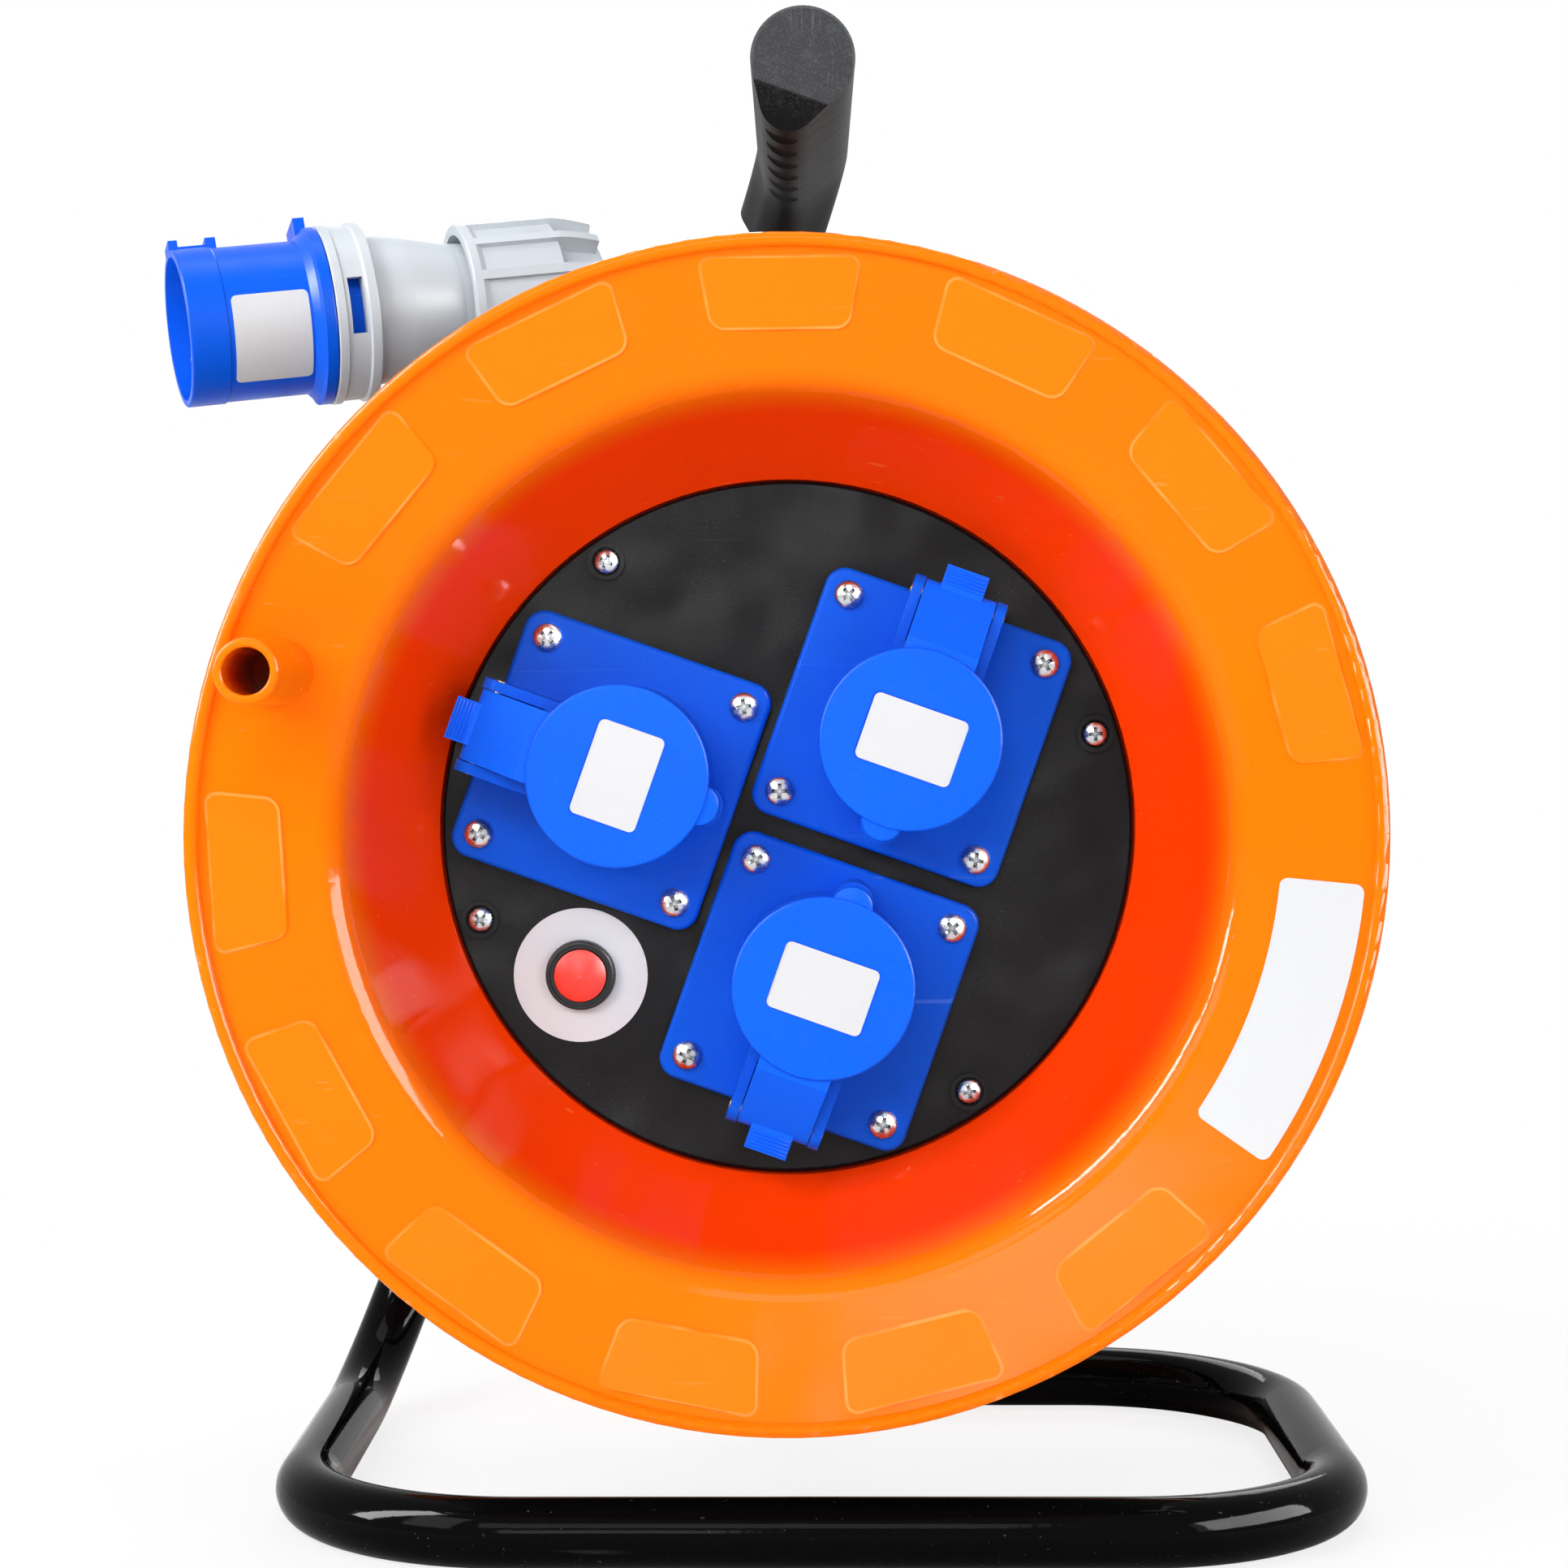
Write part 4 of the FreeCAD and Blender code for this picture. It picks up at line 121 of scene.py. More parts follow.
def plug_frame():
    """The plug's frame: Z runs from its mouth to its cable nut."""
    mouth = reel_point(-186.2, 112.0, 357.7)
    nut = reel_point(-61.0, 152.0, 374.4)
    roll = math.radians(-14)
    along = (nut - mouth).normalized()
    up = (Vector((0, 0, 1)) - along * along.z).normalized()
    axes = Matrix((up.cross(along), up, along)).transposed().to_4x4()
    return Matrix.Translation(mouth) @ axes @ turned(roll)


# Sizes and colours that a user would change


def length(name, description, default):
    return FloatProperty(name=name, description=description, default=default, unit="LENGTH")


def colour(name, description, default):
    return FloatVectorProperty(
        name=name, description=description, subtype="COLOR", min=0, max=1, default=default)


class ReelCordSizes(bpy.types.PropertyGroup):
    """Sizes of the cord on the drum and of the loose lead."""

    diameter: length("Cord diameter", "Outside of the rubber sheath", 0.0108)
    outer_radius: length("Outer layer radius", "From the axle to the middle of the outer cord", 0.1351)
    layer_step: length("Layer step", "From the middle of one layer to the next", 0.0107)
    turn_points: IntProperty(
        name="Points in a turn", description="Control points of the cord in each turn", default=18)
    winding_length: length("Wound length", "Length of the cord on the drum", 27.8)
    lead_length: length("Lead length", "Length of cord from the winding to the plug", 0.218)


class ReelFastenerSizes(bpy.types.PropertyGroup):
    """Sizes of the screws, springs and the axle's nut."""

    small_head: length("Small head", "Radius of a panel screw's head", 0.00385)
    socket_head: length("Socket head", "Radius of a socket screw's head", 0.00425)
    drum_head: length("Drum head", "Radius of a drum screw's head", 0.0045)
    clamp_head: length("Clamp head", "Radius of a cord clamp screw's head", 0.0025)
    spring_wire: length("Spring wire", "Thickness of a lid spring's wire", 0.0008)
    nut_flats: length("Nut flats", "Across the flats of the axle's nut", 0.017)


class ReelColours(bpy.types.PropertyGroup):
    """Colours of the mouldings, cords and labels."""

    orange: colour("Orange", "Drum mouldings", (0.98, 0.19, 0.001))
    # The recess colour is painted shade: the deep part of the dish is tinted redder, for its shade and
    # interreflected red
    recess: colour("Recess", "Deep part of the drum's dish", (0.93, 0.045, 0.001))
    blue: colour("Blue", "Sockets, lids and plug shroud", (0.002, 0.105, 0.8))
    grey: colour("Light grey", "Plug body, ring and cable nut", (0.54, 0.585, 0.63))
    red: colour("Red", "Reset button", (0.8, 0.025, 0.01))
    label: colour("Label", "Blank stickers", (0.62, 0.64, 0.66))
    panel: colour("Panel", "Socket panel", (0.007, 0.007, 0.008))
    tube: colour("Tube", "Painted tube stand", (0.002, 0.002, 0.0024))
    grip: colour("Grip", "Handle grip", (0.005, 0.005, 0.006))
    cord: colour("Cord", "Rubber sheath", (0.012, 0.012, 0.013))


class ReelStudio(bpy.types.PropertyGroup):
    """The studio's lights, floor and camera."""

    lens: FloatProperty(name="Lens", description="Focal length of the camera", default=79.2, unit="CAMERA")
    lamps: FloatProperty(name="Lamps", description="Brightness of the lamps", default=1.0, min=0)
    floor: colour("Floor", "Colour of the floor", (0.9, 0.9, 0.9))


# Shader nodes written as plain arithmetic


class Wire:
    """A shader value. Arithmetic on it adds Math nodes."""

    def __init__(self, nodes, socket):
        self.nodes = nodes
        self.socket = socket

    def by(self, operation, *others):
        return self.nodes.math(operation, self, *others)

    def __add__(self, other):
        return self.by("ADD", other)

    __radd__ = __add__

    def __sub__(self, other):
        return self.by("SUBTRACT", other)

    def __rsub__(self, other):
        return self.nodes.math("SUBTRACT", other, self)

    def __mul__(self, other):
        return self.by("MULTIPLY", other)

    __rmul__ = __mul__

    def __truediv__(self, other):
        return self.by("DIVIDE", other)

    def __rtruediv__(self, other):
        return self.nodes.math("DIVIDE", other, self)

    def __pow__(self, other):
        return self.by("POWER", other)

    def least(self, other):
        return self.by("MINIMUM", other)

    def most(self, other):
        return self.by("MAXIMUM", other)

    def rise(self, low, high):
        """0 below low, 1 above high and smooth between."""
        limits = {"Value": self, "From Min": low, "From Max": high}
        return self.nodes.node("ShaderNodeMapRange", limits, interpolation_type="SMOOTHSTEP")

    def fall(self, low, high):
        """1 below low, 0 above high and smooth between."""
        return 1 - self.rise(low, high)


class Nodes:
    """A node tree that shader values are added to."""

    def __init__(self, tree):
        self.tree = tree

    def node(self, kind, sockets=None, output=0, **settings):
        """Adds a node: its settings first, then the values or wires of its sockets."""
        made = self.tree.nodes.new(kind)
        for name, value in settings.items():
            setattr(made, name, value)
        for key, value in (sockets or {}).items():
            self.plug(made.inputs[key], value)
        return Wire(self, made.outputs[output])

    def plug(self, socket, value):
        """Sets a socket to a wire or a value, and gives a colour its fourth channel."""
        if isinstance(value, Wire):
            self.tree.links.new(value.socket, socket)
        elif hasattr(socket.default_value, "__len__") and len(socket.default_value) == 4:
            socket.default_value = (*value, 1)
        else:
            socket.default_value = value

    def math(self, operation, *values):
        return self.node("ShaderNodeMath", dict(enumerate(values)), operation=operation)

    def mix(self, factor, first, second):
        return self.node("ShaderNodeMix", {0: factor, 6: first, 7: second}, output=2, data_type="RGBA")


class Finish(Nodes):
    """A material with one Principled shader."""

    def __init__(self, name):
        self.material = bpy.data.materials.new(f"finish_{name}")
        self.material.use_nodes = True
        super().__init__(self.material.node_tree)
        self.tree.nodes.clear()
        self.shader = self.tree.nodes.new("ShaderNodeBsdfPrincipled")
        self.result = self.tree.nodes.new("ShaderNodeOutputMaterial").inputs[0]
        self.plug(self.result, Wire(self, self.shader.outputs[0]))
        self.spot = self.node("ShaderNodeTexCoord", output="Object")
        self.colours = bpy.context.scene.reel_colours

    def noise(self, scale, detail=2.0, rough=0.5, where=None):
        sockets = {"Vector": where or self.spot, "Scale": scale, "Detail": detail, "Roughness": rough}
        return self.node("ShaderNodeTexNoise", sockets)

    def mapped(self, turn, scale, shift=(0, 0, 0)):
        sockets = {"Vector": self.spot, "Location": shift, "Rotation": turn, "Scale": scale}
        return self.node("ShaderNodeMapping", sockets)

    def axes(self):
        split = self.node("ShaderNodeSeparateXYZ", {0: self.spot}).socket.node
        return [Wire(self, output) for output in split.outputs]

    def scratches(self, turns, fineness, cut):
        """Thin straight scratches, some in each of the given directions."""
        found = None
        for index, turn in enumerate(turns):
            where = self.mapped(turn, (7.0, fineness, fineness), (index * 3.1, index, 0))
            line = self.noise(1.0, 1.5, 0.6, where).rise(cut, cut + 0.035)
            found = line if found is None else found.most(line)
        return found * self.noise(22.0, 1.0).rise(0.42, 0.66)

    def bump(self, height, distance, strength=1.0, under=None):
        sockets = {"Height": height, "Distance": distance, "Strength": strength}
        if under is not None:
            sockets["Normal"] = under
        return self.node("ShaderNodeBump", sockets)

    def surface(self, color, roughness, normal=None, specular=None, ior=None, metallic=None):
        """Sets the shader's sockets, which ends the finish."""
        sockets = {"Base Color": color, "Roughness": roughness, "Normal": normal,
                   "Specular IOR Level": specular, "IOR": ior, "Metallic": metallic}
        for name, value in sockets.items():
            if value is not None:
                self.plug(self.shader.inputs[name], value)


def darker(tint, amount):
    return tuple(channel * amount for channel in tint)


# Finishes


def drum_orange(finish):
    """Glossy orange moulding: satin pads tinted paler as a painted sheen and edged with a painted highlight,
    a dish tinted redder with depth as painted shade and interreflected red, a scuffed rim and fine
    scratches.
    """
    x, y, z = finish.axes()
    across, up, depth = x - AXLE.x, z - AXLE.z, y - RIM_Y_M
    radius = (across ** 2.0 + up ** 2.0) ** 0.5
    ring_lip, ring_edge, ring_slope = 0.0028, 0.1611, 0.215
    below_ring = depth - ring_lip - (ring_edge - radius) * ring_slope
    on_ring = radius.rise(0.1262, 0.1268) * radius.fall(0.1604, 0.1608) * below_ring.fall(0.0006, 0.0012)

    # The distance to the nearest pad's edge, below 0 inside it. A pad is a trapezoid with round corners
    half_height, half_width, splay, corner_radius = 0.006, 0.01675, 0.175, 0.004
    from_post = (finish.math("ARCTAN2", up, across) - POST_TURN).by("WRAP", math.pi, -math.pi).by("ABSOLUTE")
    place = ((from_post - PAD_FIRST) / PAD_STEP).most(0.0).least(PAD_LAST).by("ROUND")
    aside = from_post - PAD_FIRST - place * PAD_STEP
    outward = radius * aside.by("COSINE") - PAD_ORBIT_M
    along = (radius * aside.by("SINE")).by("ABSOLUTE")
    beyond_end = outward.by("ABSOLUTE") * 1.023 - half_height
    beyond_side = (along - half_width - outward * splay) * 0.985
    corner = (beyond_end.most(0.0) ** 2.0 + beyond_side.most(0.0) ** 2.0) ** 0.5
    edge = corner + beyond_end.most(beyond_side).least(0.0) - corner_radius
    pads = on_ring * edge.fall(-0.0003, 0.0001)
    # Painted highlight: a band along each pad's edge, for the light that the pads' rounded edges catch
    outline = on_ring * (edge + 0.0001).by("ABSOLUTE").fall(0.0002, 0.0006)

    rim = radius.rise(0.1622, 0.1645)
    # Painted shade: the dish is tinted towards the recess colour with depth, standing in for its shade and
    # interreflected red
    painted_dish_shade = depth.rise(0.0085, 0.03) * radius.fall(0.126, 0.13) * depth.fall(0.066, 0.07)
    flare = depth.rise(0.0085, 0.0115)
    orange = finish.colours.orange
    tone = finish.mix(finish.noise(14.0, 3.0).rise(0.35, 0.7) * 0.25, orange, darker(orange, 0.88))
    tone = finish.mix(painted_dish_shade, tone, finish.colours.recess)
    # Painted sheen: the satin pads are tinted paler, for the broad sheen that their frosted surface catches
    tone = finish.mix(pads * 0.18, tone, (1.0, 0.29, 0.008))
    # The pads' edges get their painted highlight, broken up by noise
    tone = finish.mix(outline * finish.noise(60.0, 2.0).rise(0.3, 0.65) * 0.6, tone, (1.0, 0.42, 0.1))
    marks = finish.scratches([(0.3, 0.2, 0.4), (1.1, 0.5, -0.7), (0.2, -0.6, 1.3)], 420.0, 0.72)
    scuffs = rim * finish.noise(160.0, 4.0, 0.7).rise(0.57, 0.68)
    tone = finish.mix((marks * 0.16 + scuffs * 0.45).least(1.0), tone, (1.0, 0.42, 0.16))
    rough = 0.1 - flare * 0.05 + pads * 0.16 + marks * 0.2 + scuffs * 0.3
    rough = rough + finish.noise(45.0, 3.0).rise(0.5, 0.8) * 0.05
    wave = finish.bump(finish.noise(30.0, 1.0), 0.0008, 0.5)
    grain = finish.bump(finish.noise(900.0, 2.0) + marks * -0.6, 0.00005, 0.4, wave)
    finish.surface(tone, rough, grain, specular=0.1, ior=1.4)


def blue_moulding(finish, amount, grain):
    """Satin blue moulding with a fine spark-eroded grain."""
    blue = finish.colours.blue
    clouds = finish.noise(45.0, 3.0).rise(0.3, 0.75)
    tone = finish.mix(clouds * 0.4, darker(blue, amount), darker(blue, amount * 0.84))
    tone = finish.mix(finish.noise(2600.0, 1.0).rise(0.62, 0.72) * 0.14, tone, (0.08, 0.3, 0.95))
    marks = finish.scratches([(0.5, 0.3, 0.9), (1.4, 0.2, -0.5)], 420.0, 0.72)
    tone = finish.mix(marks * 0.25, tone, (0.12, 0.3, 0.85))
    rough = 0.29 + finish.noise(90.0, 2.0).rise(0.4, 0.7) * 0.08 + marks * 0.15
    wave = finish.bump(finish.noise(55.0, 1.0), 0.0002, 0.3)
    normal = finish.bump(finish.noise(1500.0, 2.5), 0.00007, grain, wave)
    finish.surface(tone, rough, normal, specular=0.12, ior=1.4)


def plug_grey(finish):
    """Light grey moulding with a faint shine and handling marks."""
    dirt = finish.noise(70.0, 5.0, 0.65).rise(0.56, 0.78)
    tone = finish.mix(dirt * 0.25, finish.colours.grey, (0.42, 0.42, 0.42))
    marks = finish.scratches([(0.1, 0.9, 0.4), (1.2, 0.1, 0.3)], 420.0, 0.73)
    tone = finish.mix(marks * 0.25, tone, (0.3, 0.3, 0.31))
    rough = 0.46 + dirt * 0.15 + marks * 0.15
    normal = finish.bump(finish.noise(1100.0, 2.0), 0.00005, 0.4)
    finish.surface(tone, rough, normal, specular=0.22)


def panel_black(finish):
    """Fine-grained black sheet with soft dents and dust."""
    dust = finish.noise(1900.0, 2.0, 0.6).rise(0.66, 0.74) * finish.noise(30.0, 2.0).rise(0.35, 0.7)
    tone = finish.mix(dust * 0.5, finish.colours.panel, (0.16, 0.16, 0.17))
    marks = finish.scratches([(0.4, 1.1, 0.3), (0.9, 0.4, 1.6)], 380.0, 0.74)
    tone = finish.mix(marks * 0.12, tone, (0.1, 0.1, 0.1))
    rough = 0.3 + finish.noise(60.0, 3.0).rise(0.35, 0.7) * 0.1 + dust * 0.2
    dents = finish.bump(finish.noise(34.0, 1.0, 0.4), 0.004, 1.0)
    grain = finish.bump(finish.noise(1700.0, 3.0, 0.6), 0.00009, 0.6, dents)
    finish.surface(tone, rough, grain, specular=0.14)


def tube_paint(finish):
    """Gloss black paint with orange peel and a few specks."""
    speck = finish.noise(700.0, 2.0).rise(0.72, 0.76)
    tone = finish.mix(speck * 0.5, finish.colours.tube, (0.09, 0.09, 0.09))
    marks = finish.scratches([(0.2, 0.1, 0.3), (0.1, 1.2, 0.2)], 340.0, 0.73)
    tone = finish.mix(marks * 0.35, tone, (0.08, 0.08, 0.085))
    rough = 0.06 + finish.noise(80.0, 3.0).rise(0.45, 0.8) * 0.06 + marks * 0.2 + speck * 0.3
    peel = finish.bump(finish.noise(330.0, 1.0), 0.00012, 0.22)
    finish.surface(tone, rough, peel, specular=0.2, ior=1.17)


def grip_rubber(finish):
    """Charcoal grip with a leathery grain, a scuffed end face and a painted highlight round the face's edge.
    """
    x, y, z = finish.axes()
    face_y, middle_x, middle_z = -0.0726, 0.0001, 0.4274
    face = y.fall(face_y, -0.0722)
    front = y.fall(face_y, -0.064)
    across = ((x - middle_x) ** 2.0 + (z - middle_z).most(0.0) ** 2.0) ** 0.5
    # Painted highlight: a lighter line round the end face's edge
    rim = face * across.rise(0.0138, 0.0146)
    scuff = finish.noise(210.0, 6.0, 0.75).rise(0.5, 0.72) * (0.15 + front * 0.85)
    speck = finish.noise(1700.0, 2.0, 0.6).rise(0.5, 0.68)
    streak = finish.noise(1.0, 3.0, 0.7, finish.mapped((0, 0.25, 0), (900, 900, 40)))
    worn = streak.rise(0.56, 0.66) * finish.noise(90.0, 2.0).rise(0.4, 0.65) * front
    tone = finish.mix(face, finish.colours.grip, (0.028, 0.029, 0.032))
    # The wear mix also carries the rim's painted highlight
    wear = scuff * 0.2 + worn * 0.4 + speck * (0.06 + front * 0.2) + rim * 0.4
    tone = finish.mix(wear.least(1.0), tone, (0.12, 0.13, 0.14))
    rough = 0.46 + finish.noise(120.0, 3.0) * 0.14 + scuff * 0.12 - rim * 0.15
    wave = finish.bump(finish.noise(150.0, 2.0), 0.0003, 0.3)
    grain = finish.bump(finish.noise(1300.0, 3.0, 0.6), 0.00014, 0.6, wave)
    finish.surface(tone, rough, grain, specular=0.25, ior=1.3)


def plated(finish, tint, rough):
    """Plated metal with a faint colour drift, fine wear and painted shade in its recesses."""
    tone = finish.mix(finish.noise(240.0, 3.0).rise(0.3, 0.75), tint, darker(tint, 0.8))
    # Painted shade: where ambient occlusion finds the surface hemmed in, as in a screw's cross recess, the
    # tint is darkened
    reach = {"Distance": 0.0016}
    open_air = finish.node("ShaderNodeAmbientOcclusion", reach, output="AO", only_local=True, samples=8)
    tone = finish.mix(open_air.rise(0.25, 0.85), darker(tint, 0.22), tone)
    line = finish.noise(1.0, 2.0, 0.6, finish.mapped((0.3, 0.7, 0.2), (30, 1800, 1800)))
    roughness = rough + line.rise(0.45, 0.75) * 0.12
    finish.surface(tone, roughness, finish.bump(line, 0.00003, 0.4), metallic=1.0)


def plain_moulding(finish, tint, rough, lift=(0.08, 0.08, 0.08)):
    """Any small moulding or gasket: mottled, with a fine grain."""
    cloud = finish.noise(110.0, 4.0, 0.6).rise(0.5, 0.8)
    tone = finish.mix(cloud * 0.3, tint, lift)
    normal = finish.bump(finish.noise(1200.0, 2.0), 0.00005, 0.4)
    finish.surface(tone, rough + cloud * 0.12, normal, specular=0.3)


def cord_rubber(finish):
    """Matt rubber sheath with a dusty bloom and fine pits."""
    bloom = finish.noise(60.0, 5.0, 0.65).rise(0.45, 0.75)
    tone = finish.mix(bloom * 0.35, finish.colours.cord, (0.045, 0.045, 0.047))
    pits = finish.bump(finish.noise(1500.0, 3.0), 0.00008, 0.5)
    finish.surface(tone, 0.5 + bloom * 0.16, pits, specular=0.16)


def label_vinyl(finish):
    """Blank white vinyl with a soft sheen, faint bubbles and a little dirt."""
    dirt = finish.noise(260.0, 5.0, 0.7).rise(0.6, 0.8)
    tone = finish.mix(dirt * 0.15, finish.colours.label, (0.5, 0.5, 0.5))
    rough = 0.3 + finish.noise(150.0, 2.0).rise(0.4, 0.7) * 0.12
    bubbles = finish.bump(finish.noise(190.0, 2.0), 0.00018, 0.35)
    finish.surface(tone, rough, bubbles, specular=0.3)


def button_red(finish):
    """Satin red button, mottled by wear."""
    cloud = finish.noise(300.0, 3.0).rise(0.45, 0.75)
    tone = finish.mix(cloud * 0.3, finish.colours.red, (0.8, 0.06, 0.03))
    normal = finish.bump(finish.noise(1200.0, 2.0), 0.00004, 0.4)
    finish.surface(tone, 0.36 + cloud * 0.1, normal)


# Each finish's maker and numbers: a blue's brightness and grain, a metal's or moulding's tint and roughness
FINISHES = {
    "drum_orange": (drum_orange,),
    "socket_blue": (blue_moulding, 0.86, 0.4),
    "lid_blue": (blue_moulding, 1.12, 0.6),
    "shroud_blue": (blue_moulding, 1.0, 0.3),
    "plug_grey": (plug_grey,),
    "panel_black": (panel_black,),
    "tube_paint": (tube_paint,),
    "grip_rubber": (grip_rubber,),
    "cord_rubber": (cord_rubber,),
    "label_vinyl": (label_vinyl,),
    "button_red": (button_red,),
    "zinc_screws": (plated, (0.6, 0.62, 0.64), 0.24),
    "zinc_axle": (plated, (0.66, 0.67, 0.68), 0.27),
    "spring_steel": (plated, (0.6, 0.6, 0.62), 0.25),
    "brass_pins": (plated, (0.82, 0.62, 0.3), 0.22),
    "nickel_pins": (plated, (0.78, 0.76, 0.72), 0.15),
    "seal_rubber": (plain_moulding, (0.014, 0.014, 0.015), 0.55),
    "black_moulding": (plain_moulding, (0.015, 0.015, 0.016), 0.35),
    "insert_moulding": (plain_moulding, (0.03, 0.032, 0.035), 0.42),
    "bush_plastic": (plain_moulding, (0.72, 0.71, 0.66), 0.38, (0.5, 0.48, 0.42)),
}

NODE_FINISHES = {
    "drum_orange": ("front_shell", "rear_shell"),
    "shroud_blue": ("plug_shroud",),
    "plug_grey": ("plug_collar", "plug_body", "plug_gland_nut"),
    "panel_black": ("socket_panel",),
    "tube_paint": ("frame_tube",),
    "grip_rubber": ("handle_grip",),
    "button_red": ("reset_button",),
    "zinc_axle": ("axle", "axle_washer", "thrust_washer", "axle_clip"),
    "nickel_pins": ("plug_pins",),
    "seal_rubber": ("panel_seal", "tail_grommet"),
    "black_moulding": ("breaker_body", "reset_bezel", "tail_clamp", "axle_saddle"),
    "insert_moulding": ("plug_insert",),
    "bush_plastic": ("bush_front", "bush_rear"),
}

SOCKET_FINISHES = {
    "socket_blue": ("housing",),
    "lid_blue": ("lid",),
    "insert_moulding": ("insert",),
    "seal_rubber": ("gasket", "lid_seal"),
    "brass_pins": ("contacts", "hinge_pin"),
}


def material_named(name):
    """The finish of that name, made once. Its prefix keeps it apart from the frame's materials."""
    found = bpy.data.materials.get(f"finish_{name}")
    if found:
        return found
    make, *numbers = FINISHES[name]
    finish = Finish(name)
    make(finish, *numbers)
    return finish.material


# Mesh and curve helpers


def turned_part(bm, profile, place, steps=32):
    """Spins points of radius and height about local Z, merges the seam and places the result."""
    points = [bm.verts.new((radius, 0, height)) for radius, height in profile]
    edges = [bm.edges.new(pair) for pair in zip(points, points[1:])]
    before = set(bm.verts) - set(points)
    bmesh.ops.spin(bm, geom=points + edges, cent=(0, 0, 0), axis=(0, 0, 1), angle=math.tau, steps=steps,
                   use_merge=True)
    made = [vert for vert in bm.verts if vert not in before]
    bmesh.ops.remove_doubles(bm, verts=made, dist=1e-6)
    made = [vert for vert in bm.verts if vert not in before]
    bmesh.ops.transform(bm, matrix=place, verts=made)
    return made


def whole(bm):
    return bm.verts[:] + bm.edges[:] + bm.faces[:]


def edges_of(geometry):
    return [item for item in geometry if isinstance(item, bmesh.types.BMEdge)]


def finish_piece(name, bm, body, finish, sharp=35):
    """Turns a bmesh into a piece that rides on a body."""
    bmesh.ops.recalc_face_normals(bm, faces=bm.faces)
    mesh = bpy.data.meshes.new(name)
    bm.to_mesh(mesh)
    bm.free()
    mesh.shade_smooth()
    mesh.set_sharp_from_angle(angle=math.radians(sharp))
    return show_piece(bpy.data.objects.new(name, mesh), body, finish)


def show_piece(piece, body, finish):
    bpy.context.scene.collection.objects.link(piece)
    piece.data.materials.append(material_named(finish))
    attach(piece, body)
    return piece


def cord_curve(name, points, radius, detail=3, rings=3):
    """A round cord along a NURBS curve of order 3 with these control points."""
    curve = bpy.data.curves.new(name, "CURVE")
    curve.dimensions = "3D"
    spline = curve.splines.new("NURBS")
    spline.points.add(len(points) - 1)
    for control, point in zip(spline.points, points):
        control.co = (*point, 1)
    spline.order_u = 3
    spline.use_endpoint_u = True
    curve.resolution_u = detail
    curve.bevel_depth = radius
    curve.bevel_resolution = rings
    curve.use_fill_caps = True
    return bpy.data.objects.new(name, curve)


# Cords


def winding_route(cords):
    """Control points of the three layers, from the inmost turn to the loose lead."""
    outer = cords.outer_radius / MM
    middle = outer - cords.layer_step / MM
    inmost = outer - 2 * cords.layer_step / MM
    # Turns so far, radius and distance behind the rim: each layer, and the climbs between them
    stations = [(0.0, inmost, 54.0), (10.1, inmost, 168.1), (10.3, middle, 168.3), (22.1, middle, 34.5),
                (22.32, outer, 20.6), (WOUND_TURNS, outer, LEAVE_BACK)]
    count = round(WOUND_TURNS * cords.turn_points)
    # The curve runs this share inside its control points
    inscribed = (6 + 2 * math.cos(math.tau / cords.turn_points)) / 8
    points = []
    for index in range(count):
        turns = WOUND_TURNS * index / count
        low, high = next(pair for pair in zip(stations, stations[1:]) if pair[0][0] <= turns <= pair[1][0])
        share = (turns - low[0]) / (high[0] - low[0])
        radius = (low[1] + (high[1] - low[1]) * share) / inscribed
        back = low[2] + (high[2] - low[2]) * share
        points.append(axle_point(radius, LEAVE_ANGLE - (WOUND_TURNS - turns) * math.tau, back))
    return points[:-1] + [winding_end(cords), lead_start(cords)]


def winding_end(cords):
    return axle_point(cords.outer_radius / MM, LEAVE_ANGLE, LEAVE_BACK)


def winding_heading(cords):
    climb = 11.3 * MM / (math.tau * cords.outer_radius)
    return Vector((-math.sin(LEAVE_ANGLE), climb, math.cos(LEAVE_ANGLE))).normalized()


def lead_start(cords):
    return winding_end(cords) + winding_heading(cords) * cords.diameter


def lead_route(cords):
    """Control points of the lead: off the winding, up behind the flange and into the plug's nut."""
    start = lead_start(cords)
    top = (AXLE.z + cords.outer_radius) / MM
    plug = plug_frame()
    return [start, start + winding_heading(cords) * 0.0403, reel_point(60.9, 168.1, top + 3.8),
            reel_point(18.4, 166.4, top + 26.4), plug @ Vector((0, 0, NUT_CLEAR_M)),
            plug @ Vector((0, 0, NUT_GRIP_M))]


def rubber_cord(name, route, cords, body, *detail):
    curve = cord_curve(name, route, cords.diameter / 2, *detail)
    return show_piece(curve, body, "cord_rubber")


class REEL_OT_wound_cord(bpy.types.Operator):
    """Wind the cord on the drum in three layers, with its tail inside the drum"""

    bl_idname = "reel.wound_cord"
    bl_label = "Wound cord"

    def execute(self, context):
        cords = context.scene.reel_cords
        route = winding_route(cords)
        winding = rubber_cord("wound_cord", route, cords, "drum")
        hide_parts("cable_winding", "winding_core")
        across, low, high, depth = 0.08, -0.0809, 0.014, -0.17
        line = [DRUM @ Vector((across, low + (high - low) * share, depth)) for share in (0, 0.3, 0.7, 1)]
        tail = rubber_cord("cord_tail", line, cords, "drum")
        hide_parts("cable_tail")
        return {"FINISHED"}


